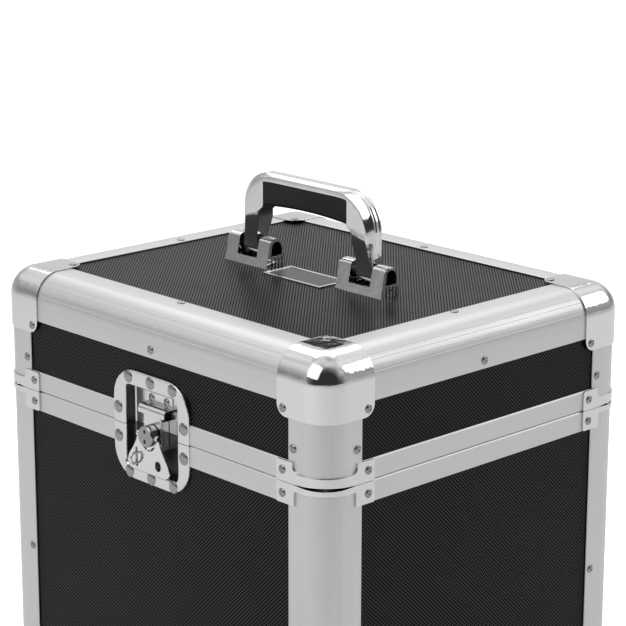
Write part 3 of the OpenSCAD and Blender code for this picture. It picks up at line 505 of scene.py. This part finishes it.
def cap_point(face, a, b):
    """A point of the cap's outside, from two distances along one box face."""
    round_from = CAP_LEG - CAP_ROUND
    if a > round_from and b > round_from:
        u, v = (a - round_from) / CAP_ROUND, (b - round_from) / CAP_ROUND
        a = round_from + CAP_ROUND * u * math.sqrt(1 - v * v / 2)
        b = round_from + CAP_ROUND * v * math.sqrt(1 - u * u / 2)
    point = [a, b]
    point.insert(face, 0)
    core = Vector([max(c, EDGE_R) for c in point])
    offset = Vector(point) - core
    return core + offset.normalized() * (EDGE_R + CAP_T)


def cap():
    """One cap for the corner at 0, its legs along +X +Y +Z."""
    ball = [EDGE_R * (1 - math.tan(math.radians(45 - 45 * i / 10))) for i in range(11)]
    flat = [EDGE_R + (CAP_LEG - CAP_ROUND - EDGE_R) * i / 4 for i in range(1, 5)]
    rim = [CAP_LEG - CAP_ROUND + CAP_ROUND * i / 8 for i in range(1, 9)]
    lines = ball + flat + rim
    form = bmesh.new()
    for face in range(3):
        grid = [[form.verts.new(cap_point(face, a, b)) for b in lines] for a in lines]
        for i in range(len(lines) - 1):
            for j in range(len(lines) - 1):
                form.faces.new((grid[i][j], grid[i + 1][j], grid[i + 1][j + 1], grid[i][j + 1]))
    bmesh.ops.remove_doubles(form, verts=form.verts, dist=0.001)
    return form


def applied(source):
    """The mesh of an object with its modifiers applied. The object goes."""
    mesh = bpy.data.meshes.new_from_object(source.evaluated_get(bpy.context.evaluated_depsgraph_get()))
    bpy.data.objects.remove(source)
    return mesh


def modified(name, mesh, modifiers):
    """A mesh with modifiers applied, each a kind and its settings."""
    source = bpy.data.objects.new(name, mesh)
    bpy.context.scene.collection.objects.link(source)
    for kind, settings in modifiers:
        modifier = source.modifiers.new(kind.lower(), kind)
        for key, value in settings.items():
            setattr(modifier, key, value)
    return applied(source)


EVEN_SHADING = ("WEIGHTED_NORMAL", {"keep_sharp": False, "weight": 50})


def pressed(thickness, rounding=0.3):
    """Sheet metal under its outer face, with its cut edges broken."""
    return (("SOLIDIFY", {"thickness": thickness * MM, "offset": -1, "use_even_offset": True}),
            ("BEVEL", {"width": rounding * MM, "segments": 2, "limit_method": "ANGLE",
                       "angle_limit": math.radians(50)}),
            EVEN_SHADING)


def outwards(form, centre):
    """Turns an open shell so that its faces look away from a point."""
    bmesh.ops.recalc_face_normals(form, faces=form.faces)
    form.faces.ensure_lookup_table()
    votes = sum((f.calc_center_median() - Vector(centre)).dot(f.normal) * f.calc_area() for f in form.faces)
    if votes < 0:
        bmesh.ops.reverse_faces(form, faces=form.faces)


def shell_mesh(name, form, centre, modifiers):
    """An open sheet in millimetres, whose outside looks away from centre, as a
    mesh in metres with modifiers applied."""
    bmesh.ops.scale(form, vec=(MM, MM, MM), verts=form.verts)
    outwards(form, Vector(centre) * MM)
    mesh = bpy.data.meshes.new(name)
    form.to_mesh(mesh)
    form.free()
    mesh.shade_smooth()
    return modified(name, mesh, modifiers)


for half, z, up in (("top", TOP, -1), ("bottom", BOTTOM, 1)):
    for sx, sy in CORNERS:
        side = f"{'back' if sy > 0 else 'front'}_{'right' if sx > 0 else 'left'}"
        form = placed(cap(), corner(sx, sy, z, up))
        mesh = shell_mesh(side, form, (0, 0, (TOP + BOTTOM) / 2), pressed(CAP_T))
        body, node = ("lid", f"top_cap_{side}") if half == "top" else ("base", "bottom_corner_caps")
        piece(f"{half}_corner_cap_{side}", mesh, CHROME, body, [node], sharp=60)

# ----------------------------------------------------------- corner braces
# Plated strips round the corners on both sides of the seam, with a tab at each
# end that is riveted to the rims.
BRACE_REACH, BRACE_ROUND, RIM_H = 46, 1.5, 15.3
STRIPS = {
    # where the tab starts, the strip's height, its fillet, the seam's rise at the corner
    "lid": (30, 8, 4.5, 1.6),
    "base": (28.5, 4.7, 1, 0.6),
}


def brace(start, strip_high, fillet, arch_rise):
    """A brace for the corner at 0, unrolled in columns and bent round it."""
    run = EDGE_R * math.pi / 4
    arch_r = (start ** 2 / 2 + arch_rise ** 2) / (2 * arch_rise)
    quarter = [math.radians(angle) for angle in range(0, 91, 15)]
    columns = [(EDGE_R - run * (1 - i / 8), strip_high) for i in range(8)]
    columns += [(EDGE_R + (start - fillet - EDGE_R) * i / 4, strip_high) for i in range(5)]
    columns += [(start - fillet * (1 - math.sin(a)), strip_high + fillet * (1 - math.cos(a)))
                for a in quarter[1:]]
    columns += [(start + 0.01, RIM_H)]
    columns += [(BRACE_REACH - BRACE_ROUND * (1 - math.sin(a)), RIM_H - BRACE_ROUND * (1 - math.cos(a)))
                for a in quarter]
    form = bmesh.new()
    previous = None
    for side, (along, high) in [(-1, c) for c in columns[:0:-1]] + [(1, c) for c in columns]:
        over = side * (along - EDGE_R + run)
        angle = max(-math.pi / 4, min(math.pi / 4, over / EDGE_R))
        over -= angle * EDGE_R
        r = EDGE_R + CAP_T
        x = EDGE_R - r * math.cos(angle + math.pi / 4) + max(over, 0)
        y = EDGE_R - r * math.sin(angle + math.pi / 4) - min(over, 0)
        arch = arch_rise - arch_r + math.sqrt(arch_r ** 2 - (x - y) ** 2 / 2)
        pair = [form.verts.new((x, y, z)) for z in (SEAM_GAP + max(0, arch), high)]
        if previous:
            form.faces.new((previous[0], pair[0], pair[1], previous[1]))
        previous = pair
    return form


for half, up in (("lid", 1), ("base", -1)):
    form = placed(brace(*STRIPS[half]), *[corner(sx, sy, SEAM, up) for sx, sy in CORNERS])
    node = "upper_corner_braces" if half == "lid" else "lower_corner_braces"
    piece(f"{half}_corner_strips", shell_mesh(half, form, (0, 0, SEAM), pressed(CAP_T)),
          NICKEL, half, [node], sharp=60)

# ------------------------------------------------------------------ rivets
# Blind rivets with a small hole in the middle of their heads hold the edges,
# caps and braces; solid ones with larger domes hold the latch.
def rivet_tree():
    """Heads of one kind on the points of a mesh, standing along "outward"."""
    group = bpy.data.node_groups.new("rivet_heads", "GeometryNodeTree")
    face = group.interface
    face.new_socket("Geometry", in_out="INPUT", socket_type="NodeSocketGeometry")
    for name, value in (("Head Radius", 3.0), ("Head Height", 1.0), ("Rim Height", 0.25),
                        ("Hole Radius", 0.0), ("Hole Depth", 0.0)):
        face.new_socket(name, in_out="INPUT", socket_type="NodeSocketFloat").default_value = value
    face.new_socket("Finish", in_out="INPUT", socket_type="NodeSocketMaterial")
    face.new_socket("Geometry", in_out="OUTPUT", socket_type="NodeSocketGeometry")
    tree = Tree(group)
    around, rows = 24, 13
    grid = tree.add("GeometryNodeMeshGrid", None,
                    {"Size X": 1.0, "Size Y": 1.0, "Vertices X": around + 1, "Vertices Y": rows})
    given = tree.add("NodeGroupInput")
    sockets = {s.name: Wire(tree, s) for s in given.socket.node.outputs}
    spot = tree.add("GeometryNodeInputPosition")
    x, y = (tree.add("ShaderNodeSeparateXYZ", None, {0: spot}, axis) for axis in "XY")
    turn = x * (2 * math.pi)
    climb = (y + 0.5) * ((rows - 1) / (rows - 2)) - 1 / (rows - 2)
    above = climb.math("GREATER_THAN", -0.01)
    radius = sockets["Head Radius"] * (climb.most(0) * (math.pi / 2)).math("COSINE") * above
    share = radius / sockets["Head Radius"]
    dome = sockets["Head Height"] * (1 - share * share).most(0).math("POWER", 0.75)
    hole = (sockets["Hole Radius"] - radius).step(-0.15, 0.15)
    rim = climb.math("GREATER_THAN", 0.01) * sockets["Rim Height"]
    height = (dome + rim - hole * sockets["Hole Depth"]) * above
    point = tree.add("ShaderNodeCombineXYZ", None, {0: radius * turn.math("COSINE") * MM,
                                                    1: radius * turn.math("SINE") * MM, 2: height * MM})
    head = tree.add("GeometryNodeSetPosition", None, {"Geometry": grid, "Position": point})
    head = tree.add("GeometryNodeMergeByDistance", None, {"Geometry": head, "Distance": 1e-6})
    outward = tree.add("GeometryNodeInputNamedAttribute", {"data_type": "FLOAT_VECTOR"}, {"Name": "outward"})
    stand = tree.add("FunctionNodeAlignRotationToVector", {"axis": "Z"}, {"Vector": outward})
    heads = tree.add("GeometryNodeInstanceOnPoints", None,
                     {"Points": sockets["Geometry"], "Instance": head, "Rotation": stand})
    heads = tree.add("GeometryNodeRealizeInstances", None, {"Geometry": heads})
    heads = tree.add("GeometryNodeSetMaterial", None, {"Geometry": heads, "Material": sockets["Finish"]})
    tree.add("NodeGroupOutput", None, {0: heads})
    return group


RIVET_HEADS = rivet_tree()
BLIND_RIVET = {"Head Radius": 3.15, "Head Height": 1.0, "Rim Height": 0.3,
               "Hole Radius": 0.95, "Hole Depth": 0.8}
DOME_RIVET = {"Head Radius": 4.75, "Head Height": 1.1, "Rim Height": 0.15,
              "Hole Radius": -1.0, "Hole Depth": 0.0}


def rivets(name, kind, places, body, *stands_for):
    """Rivet heads at pairs of a place in millimetres and a direction."""
    cloud = bpy.data.meshes.new(name)
    cloud.from_pydata([Vector(place) * MM for place, _ in places], [], [])
    outward = cloud.attributes.new("outward", "FLOAT_VECTOR", "POINT")
    for i, (_, direction) in enumerate(places):
        outward.data[i].vector = direction
    source = bpy.data.objects.new(name, cloud)
    bpy.context.scene.collection.objects.link(source)
    modifier = source.modifiers.new("heads", "NODES")
    modifier.node_group = RIVET_HEADS
    values = {**kind, "Finish": STEEL}
    for item in RIVET_HEADS.interface.items_tree:
        if item.in_out == "INPUT" and item.name in values:
            modifier[item.identifier] = values[item.name]
    mesh = applied(source)
    form = bmesh.new()
    form.from_mesh(mesh)
    bmesh.ops.recalc_face_normals(form, faces=form.faces)
    form.to_mesh(mesh)
    form.free()
    return piece(name, mesh, STEEL, body, stands_for, sharp=70)


POST_RIVET, CAP_RIVET, BRACE_RIVET, EDGE_RIVET = 30.5, 39.5, 40, 29.5
LID_POST_RIVET, BASE_POST_RIVET, BRACE_RIVET_Z = 66.4, 220, 8.3
HINGE_X, HINGE_RIVET_STEP, LEAF_RIVET_Z, LEAF_T = 98, 22, 9, 1.5


def wall_places(sides, spots, proud):
    """Places on the front at -1 or the back at 1, from X and a height."""
    return [((x, sy * (HALF_D + proud), z), (0, sy, 0)) for sy in sides for x, z in spots]


def side_places(spots, proud):
    """Places on the left and the right, from Y and a height."""
    return [((sx * (HALF_W + proud), y, z), (sx, 0, 0)) for sx in BOTH for y, z in spots]


def edge_rivets(post_z, cap_z, brace_z, middle_z, hinge_z):
    """The rivets that the lid and the base have alike."""
    found = []
    for distance, z, proud in ((POST_RIVET, post_z, 0), (CAP_RIVET, cap_z, CAP_T),
                               (BRACE_RIVET, brace_z, CAP_T)):
        found += wall_places(BOTH, [(s * (HALF_W - distance), z) for s in BOTH], proud)
        found += side_places([(s * (HALF_D - distance), z) for s in BOTH], proud)
    found += wall_places(BOTH, [(0, middle_z)], 0) + side_places([(0, middle_z)], 0)
    found += wall_places((1,), [(s * HINGE_X + n * HINGE_RIVET_STEP, hinge_z)
                                for s in BOTH for n in (-1, 0, 1)], LEAF_T)
    return found


UP, AHEAD = (0, 0, 1), (0, -1, 0)
lid_places = edge_rivets(TOP - LID_POST_RIVET, TOP - CAP_RIVET, SEAM + BRACE_RIVET_Z, TOP - EDGE_RIVET,
                         SEAM + LEAF_RIVET_Z)
lid_places += [((sx * (HALF_W - CAP_RIVET), sy * (HALF_D - CAP_RIVET), TOP + CAP_T), UP)
               for sx, sy in CORNERS]
lid_places += [((0, s * (HALF_D - EDGE_RIVET), TOP), UP) for s in BOTH]
lid_places += [((s * (HALF_W - EDGE_RIVET), 0, TOP), UP) for s in BOTH]
rivets("lid_blind_rivets", BLIND_RIVET, lid_places, "lid", "lid_rivets")
base_places = edge_rivets(TOP - BASE_POST_RIVET, BOTTOM + CAP_RIVET, SEAM - BRACE_RIVET_Z,
                          BOTTOM + EDGE_RIVET, SEAM - LEAF_RIVET_Z)
rivets("base_blind_rivets", BLIND_RIVET, base_places, "base", "base_rivets")

# -------------------------------------------------------------- latch dish
# A plated dish pressed from steel sheet and parted at the seam, each half
# riveted to its own rim.
# The pocket's walls, and the base half's pocket floor, get a dark painted shade.
DISH = (-42.25, -40.1, 42.25, 42.6)
DISH_CORNER, DISH_PROUD, DISH_T = 23, 1, 0.9
POCKET = (-29, -30.4, 29, 30.4)
# The last value is how far behind the dish's front the pocket's painted shade begins.
POCKET_CORNER, POCKET_DEPTH, SHADE_BEHIND = 4, 8.5, 0.7


def rounded_loop(box, rounding, grow, steps=8, sides=6):
    """Points round a box in the latch's X and height, its corners rounded."""
    x0, z0, x1, z1 = box[0] - grow, box[1] - grow, box[2] + grow, box[3] + grow
    r = max(rounding + grow, 0.3)
    points = []
    for i, (cx, cz) in enumerate(((x1 - r, z1 - r), (x0 + r, z1 - r), (x0 + r, z0 + r), (x1 - r, z0 + r))):
        points += arc((cx, cz), r, i * 90, i * 90 + 90, steps)
        nx, nz = ((x0 + r, z1), (x0, z0 + r), (x1 - r, z0), (x1, z1 - r))[i]
        lx, lz = points[-1]
        points += [(lx + (nx - lx) * k / sides, lz + (nz - lz) * k / sides) for k in range(1, sides)]
    return points


def at_latch(x, out_by, z):
    """A place from the middle of the seam's front."""
    return (x, -HALF_D - out_by, SEAM + z)


DISH_LOOPS = [(DISH, DISH_CORNER, 0, -1.5), (DISH, DISH_CORNER, 0, 0.2), (DISH, DISH_CORNER, -0.25, 0.7),
              (DISH, DISH_CORNER, -0.8, 1.0), (DISH, DISH_CORNER, -3, 1.0)]
DISH_LOOPS += [(POCKET, POCKET_CORNER, grow, out_by) for grow, out_by in (
    (2.6, 1.0), (1.7, 0.92), (1.0, 0.65), (0.45, 0.2), (0.12, -0.5), (0, -1.4), (-0.35, -5.5),
    (-0.6, -6.9), (-1.1, -7.9), (-1.9, -8.4), (-2.8, -8.5))]


def dish_half(z_cut, keep_up):
    """The whole pressing, cut off on one side of the seam."""
    form = bmesh.new()
    previous = None
    for box, rounding, grow, out_by in DISH_LOOPS:
        loop = [form.verts.new(at_latch(x, out_by, z)) for x, z in rounded_loop(box, rounding, grow)]
        if previous:
            join_rings(form, previous, loop)
        previous = loop
    form.faces.new(previous)
    bmesh.ops.bisect_plane(form, geom=form.verts[:] + form.edges[:] + form.faces[:], dist=1e-4,
                           plane_co=(0, 0, SEAM + z_cut), plane_no=(0, 0, 1),
                           clear_inner=keep_up, clear_outer=not keep_up)
    return form


def second_finish_or_shade(made, finish, chosen):
    """Another material, a finish or a painted shade, on the faces whose centre, in millimetres, is chosen.
    """
    made.data.materials.append(finish)
    for face in made.data.polygons:
        if chosen(face.center / MM, face.normal):
            face.material_index = 1


def painted_shade_in(half):
    """Chooses the pocket's walls, and in the base its floor too, for the painted shade."""
    def chosen(centre, normal):
        return centre.y > SHADE_BEHIND - HALF_D and (half == "base" or normal.y > -0.8)
    return chosen


# Painted shade: a dark copy of the nickel on the pocket's walls and the base's pocket floor, where shade
# falls in the recess.
POCKET_PAINTED_SHADE = plated("nickel_with_painted_shade", (0.13, 0.13, 0.13), 0.25)
for half, cut in (("lid", SEAM_GAP), ("base", -SEAM_GAP)):
    mesh = shell_mesh(half, dish_half(cut, half == "lid"), (0, 200, SEAM), pressed(DISH_T, 0.25))
    dish = piece(f"{half}_latch_dish", mesh, NICKEL, half, [f"latch_dish_{half}"], sharp=60)
    second_finish_or_shade(dish, POCKET_PAINTED_SHADE, painted_shade_in(half))

DISH_RIVETS = {
    "lid": ((-24.8, 37), (0, 37), (24.8, 37), (-36.8, 11.4), (36.8, 11.4)),
    "base": ((-36.8, -10.6), (36.8, -10.6), (-24.8, -35.1), (0, -35.4), (24.8, -35.1)),
}
KEEPER_RIVETS = ((-8.4, 22.8), (8.4, 22.8))
for half, spots in DISH_RIVETS.items():
    rivets(f"{half}_dish_rivets", DOME_RIVET, [(at_latch(x, DISH_PROUD, z), AHEAD) for x, z in spots],
           half, f"latch_{half}_rivets")
rivets("keeper_rivets", {**DOME_RIVET, "Head Radius": BLIND_RIVET["Head Radius"]},
       [(at_latch(x, 1 - POCKET_DEPTH, z), AHEAD) for x, z in KEEPER_RIVETS], "lid", "latch_lid_rivets")

# ------------------------------------------------------------- latch parts
# Stamped and turned parts of the turn latch: the keeper on the lid, the hook
# strap, the spindle with its folding flap, and the padlock staple.
def true_form(node):
    """A CAD node's form in millimetres, its doubles merged, its flats whole."""
    source = nodes[node].data
    bare = bpy.data.meshes.new("bare")
    bare.from_pydata([v.co for v in source.vertices], [], [tuple(p.vertices) for p in source.polygons])
    form = bmesh.new()
    form.from_mesh(bare)
    bpy.data.meshes.remove(bare)
    bmesh.ops.scale(form, vec=(1 / MM, 1 / MM, 1 / MM), verts=form.verts)
    bmesh.ops.remove_doubles(form, verts=form.verts, dist=0.002)
    bmesh.ops.dissolve_limit(form, angle_limit=math.radians(0.4), verts=form.verts, edges=form.edges)
    return form


def broken_edges(width, segments=2):
    """The small rounding that tumbling leaves on every edge."""
    return (("BEVEL", {"width": width * MM, "segments": segments, "limit_method": "ANGLE",
                       "angle_limit": math.radians(35), "use_clamp_overlap": True}),
            EVEN_SHADING)


def tumbled(name, node, width, finish, body, segments=2):
    """A CAD node again, with its edges broken."""
    mesh = modified(name, mesh_of(true_form(node), name), broken_edges(width, segments))
    return piece(name, mesh, finish, body, [node], sharp=50)


tumbled("latch_keeper", "latch_catch", 0.25, NICKEL, "lid")
tumbled("hook_strap", "latch_strap", 0.25, NICKEL, "strap")
tumbled("spindle_and_barrel", "latch_spindle", 0.2, STEEL, "spindle")
tumbled("thumb_flap", "latch_flap", 0.2, CHROME, "flap")
tumbled("staple_and_arm", "padlock_staple", 0.15, CHROME, "spindle")
dress("latch_flap_pin", STEEL)

# ------------------------------------------------------------------ handle
# A chromed bail with a black plastic grip, hinged on steel pins in two cast
# brackets, which are bolted through the lid.
HANDLE_X = 2.5
PIVOT_H, FOOT_R = 12, 6
FOOT, ANKLE, KNEE = (53.9, 69.7, 70.7), (53.9, 68.7, 70.7), (51, 66, 71)
BOW_CENTRE, BOW_R = Vector((42, 43.5)), 29
FACET_CENTRE, FACET_R = Vector((34, 38.5)), 32
LEG_HIGH, ARCH_LOW = 41.5, 46
OPENING, ARCH_TOP, ARCH_R, GRIP_HIGH, GRIP_CORNER = 45.6, 49, 424, 66, 2
BOW_DEEP, BAND, GRIP_DEEP, GRIP_SOFT = 8, 4, 7.2, 2.4
GROOVES, GROOVE_DEEP = (1.9, 0.7), 0.8


def bail_stations():
    """Inner, facet's and outer point, outward angle, half depths of the flat
    face and of the band, and depth of the grooves, from a foot to the middle."""
    stations = []

    def level(z, places, deep, band, groove=0.0):
        stations.append((*[Vector((x, z)) for x in places], 0, deep, band, groove))

    # the rounded foot, the ankle and the knee
    for angle in (88, 75, 60, 45, 30, 15):
        angle = math.radians(angle)
        deep = FOOT_R * math.cos(angle)
        level(PIVOT_H - FOOT_R * math.sin(angle), FOOT, deep, deep * 0.87)
    level(PIVOT_H, FOOT, FOOT_R, 5.2)
    level(22, ANKLE, 6.2, 4.6)
    level(36, KNEE, BOW_DEEP, BAND)
    # round the opening, and along the grip to its middle
    mouth = [(KNEE[0], LEG_HIGH), (OPENING, ARCH_LOW)]
    mouth += [(OPENING, ARCH_LOW + (GRIP_HIGH - GRIP_CORNER - ARCH_LOW) * i / 8) for i in range(1, 8)]
    mouth += arc((OPENING - GRIP_CORNER, GRIP_HIGH - GRIP_CORNER), GRIP_CORNER, 0, 90, 6)
    mouth += [(OPENING - GRIP_CORNER - 1.2 * i, GRIP_HIGH) for i in range(1, 9)]
    for i, inner in enumerate(mouth):
        angle = 90 * i / (len(mouth) - 1)
        way = Vector((math.cos(math.radians(angle)), math.sin(math.radians(angle))))
        stations.append((Vector(inner), FACET_CENTRE + way * FACET_R, BOW_CENTRE + way * BOW_R,
                         angle, BOW_DEEP, BAND, GROOVE_DEEP * min(1, (i + 1) / 3)))
    last = stations[-1][:3]
    for i in range(1, 7):
        stations.append((*[Vector((point.x * (1 - i / 6), point.y)) for point in last],
                         90, BOW_DEEP, BAND, GROOVE_DEEP))
    return stations


def bail_section(inner, facet, outer, angle, deep, band, groove):
    """Points round the bail's section, as a place in the front view and Y."""
    along = (facet - inner).normalized()
    inwards = Vector((math.cos(math.radians(angle)), math.sin(math.radians(angle)))) * -1
    soft = min(0.6, deep * 0.3)
    front = [(inner, deep - soft), (inner + along * soft * 0.3, deep - soft * 0.3),
             (inner + along * soft, deep), (facet - along * 0.5, deep)]
    front += [(facet.lerp(outer, k), deep + (band - deep) * k) for k in (0.09, 0.5, 0.94)]
    front.append((outer, band - 0.25))
    middle, half = GROOVES
    for y, share in ((half + 0.2, 0), (half, 0.2), (half * 0.4, 0.95), (-half * 0.4, 0.95), (-half, 0.2),
                     (-half - 0.2, 0)):
        front.append((outer + inwards * groove * share, min(middle + y, band * 0.9)))
    return front + [(place, -y) for place, y in reversed(front)]


def bail():
    """Both legs and the bow, joined round rings at the stations."""
    form = bmesh.new()
    for side in (1, -1):
        previous = None
        for station in bail_stations():
            ring = [form.verts.new((HANDLE_X + side * place.x, y, TOP + place.y))
                    for place, y in bail_section(*station)]
            if previous:
                join_rings(form, previous, ring)
            else:
                form.faces.new(ring)
            previous = ring
    bmesh.ops.remove_doubles(form, verts=form.verts, dist=0.001)
    return form


piece("chromed_bail", modified("bail", mesh_of(bail(), "bail"), [EVEN_SHADING]), CHROME, "handle",
      ["handle_bail"], sharp=40)


def grip():
    """The grip's section, swept from leg to leg under the bow."""
    form = bmesh.new()
    previous = None
    steps = 32
    for i in range(steps + 1):
        x = -OPENING + 2 * OPENING * i / steps
        low = ARCH_TOP - x * x / (2 * ARCH_R)
        section = [(GRIP_DEEP - 0.4, GRIP_HIGH + 0.3), (GRIP_DEEP, GRIP_HIGH - 0.6),
                   *arc((GRIP_DEEP - GRIP_SOFT, low + GRIP_SOFT), GRIP_SOFT, 0, -90, 6)]
        section += [(-y, z) for y, z in reversed(section)]
        ring = [form.verts.new((HANDLE_X + x, y, TOP + z)) for y, z in section]
        if previous:
            join_rings(form, previous, ring)
        else:
            form.faces.new(ring)
        previous = ring
    form.faces.new(previous)
    return form


RUBBER, rubber_tree, rubber_shader = material("black_rubber", (0.007, 0.007, 0.0075), 0.42,
                                              Specular_IOR_Level=0.3)
rubber_tree.feed(rubber_shader.inputs["Normal"],
                 bump(rubber_tree, noise(rubber_tree, place_of(rubber_tree), 1.4, 3), 0.0001, 0.3))
piece("plastic_grip", modified("grip", mesh_of(grip(), "grip"), broken_edges(0.4)), RUBBER, "handle",
      ["handle_grip"], sharp=40)

# The brackets' hollow ends get a near black painted shade, and the plate's sunk field is left dark.
HOLLOW_ENDS, HOLLOW_Y, HOLLOW_Z = ((38.4, 47), (76, 84.9)), (-5.8, 6), (7.2, 18.4)
FIELD_Z = (-1, -0.7)
# Painted shade: near black inside the brackets' arched hollows.
HOLLOW_PAINTED_SHADE = material("bracket_hollow_painted_shade", (0.02, 0.02, 0.021), 0.6)[0]
LACQUER = material("black_lacquer", (0.012, 0.012, 0.013), 0.3)[0]


def in_hollow(centre, normal):
    """Inside the arched hollow in the end of a bracket, which gets a painted shade."""
    x, y, z = abs(centre.x - HANDLE_X), centre.y, centre.z - TOP
    in_end = any(near < x < far for near, far in HOLLOW_ENDS)
    return (in_end and HOLLOW_Y[0] < y < HOLLOW_Y[1] and HOLLOW_Z[0] < z < HOLLOW_Z[1]
            and abs(normal.x) < 0.9)


def in_field(centre, normal):
    """On the sunk face of the badge plate."""
    return normal.z > 0.9 and FIELD_Z[0] < centre.z - TOP < FIELD_Z[1]


for side in ("left", "right"):
    bracket = tumbled(f"bracket_{side}", f"handle_bracket_{side}", 0.3, CHROME, "lid", 3)
    # The hollow ends get the painted shade.
    second_finish_or_shade(bracket, HOLLOW_PAINTED_SHADE, in_hollow)
for name in ("handle_pivot_pins", "handle_bolts"):
    dress(name, STEEL)
dress("handle_backing_plates", NICKEL)
badge = tumbled("bare_badge_plate", "badge_plate", 0.15, NICKEL, "lid")
second_finish_or_shade(badge, LACQUER, in_field)

# --------------------------------------------------------- hinges and feet
# Two plated leaf hinges on steel pins at the back, riveted to the rims, and
# four rubber feet screwed to the bottom edges.
for half in ("base", "lid"):
    tumbled(f"hinge_leaves_{half}", f"hinge_{half}_leaves", 0.25, NICKEL, half)
dress("hinge_pins", STEEL)
dress("rubber_feet", RUBBER)

# ----------------------------------------------------------------- linings
# Three millimetre black foam sheet, glued to the walls, the floor and the lid.
FOAM_T = 3
FOAM, foam_tree, foam_shader = material("black_foam", (0.02, 0.02, 0.021), 0.95)
cells = foam_tree.add("ShaderNodeTexVoronoi", {"feature": "F1"},
                      {"Vector": place_of(foam_tree), "Scale": 1.6})
foam_tree.feed(foam_shader.inputs["Base Color"],
               shades(foam_tree, cells, (0.008, 0.008, 0.008), (0.035, 0.035, 0.037)))
foam_tree.feed(foam_shader.inputs["Normal"], bump(foam_tree, cells, 0.0003, 0.6))


def swell(t):
    """How full a sheet of foam is, from its edge at 0 to its middle at 1."""
    t = min(1, max(0, t))
    return math.sqrt(1 - (1 - t) ** 2)


def lining_ring(low, high):
    """Foam against four walls, its free edges rounded and its face uneven."""
    form = bmesh.new()
    half_w, half_d = HALF_W - INNER, HALF_D - INNER
    corners = [(-half_w, -half_d), (half_w, -half_d), (half_w, half_d), (-half_w, half_d)]
    columns = []
    steps = 48
    for i in range(4):
        (x0, y0), (x1, y1) = corners[i], corners[(i + 1) % 4]
        columns += [(x0 + (x1 - x0) * k / steps, y0 + (y1 - y0) * k / steps) for k in range(steps)]
    rows = [0, 0.4, 1.2, 2.6] + [4 + (high - low - 8) * k / 14 for k in range(15)]
    rows += [high - low - v for v in (2.6, 1.2, 0.4, 0)]
    rings = []
    for row in rows:
        full = swell(min(row, high - low - row) / 3)
        ring = []
        for x, y in columns:
            wave = 0.25 * math.sin(x * 0.061 + row * 0.05) * math.sin(y * 0.057 - row * 0.043)
            deep = 0.4 + (FOAM_T - 0.4 - 0.3 + wave) * full
            ring.append(form.verts.new((max(-half_w + deep, min(half_w - deep, x)),
                                        max(-half_d + deep, min(half_d - deep, y)), low + row)))
        rings.append(ring)
    for z in (high, low):
        rings.append([form.verts.new((x, y, z)) for x, y in columns])
    rings.append(rings[0])
    for a, b in zip(rings, rings[1:]):
        join_rings(form, a, b)
    return form


def lining_sheet(z_back, toward):
    """A sheet of foam across the case, its face towards +Z or -Z."""
    form = bmesh.new()
    half_w, half_d = HALF_W - INNER - FOAM_T, HALF_D - INNER - FOAM_T
    steps_x, steps_y = 72, 60
    faces = []
    for side in (0, 1):
        grid = []
        for i in range(steps_x + 1):
            line = []
            for j in range(steps_y + 1):
                x, y = half_w * (2 * i / steps_x - 1), half_d * (2 * j / steps_y - 1)
                edge = min(half_w - abs(x), half_d - abs(y))
                deep = 0
                if side:
                    wave = 0.2 * math.sin(x * 0.047) * math.sin(y * 0.053 + 1)
                    deep = 0.5 + (FOAM_T - 0.7 + wave) * swell(edge / 4)
                line.append(form.verts.new((x, y, z_back + toward * deep)))
            grid.append(line)
        faces.append(grid)
        for i in range(steps_x):
            for j in range(steps_y):
                form.faces.new((grid[i][j], grid[i + 1][j], grid[i + 1][j + 1], grid[i][j + 1]))
    back, front = ([line[0] for line in grid] + grid[-1][1:] + [line[-1] for line in grid[-2::-1]]
                   + grid[0][-2:0:-1] for grid in faces)
    join_rings(form, back, front)
    return form


def lining(name, form, body, node):
    """Foam in the place of a CAD lining."""
    made = piece(name, mesh_of(form, name), FOAM, body, [node], sharp=80)


lining("base_wall_lining", lining_ring(BOTTOM + INNER + FOAM_T, SEAM - 3), "base", "base_wall_foam")
lining("base_floor_lining", lining_sheet(BOTTOM + INNER, 1), "base", "base_floor_foam")
lining("lid_wall_lining", lining_ring(SEAM + 3, TOP - INNER), "lid", "lid_foam")
lining("lid_ceiling_lining", lining_sheet(TOP - INNER, -1), "lid", "lid_foam")
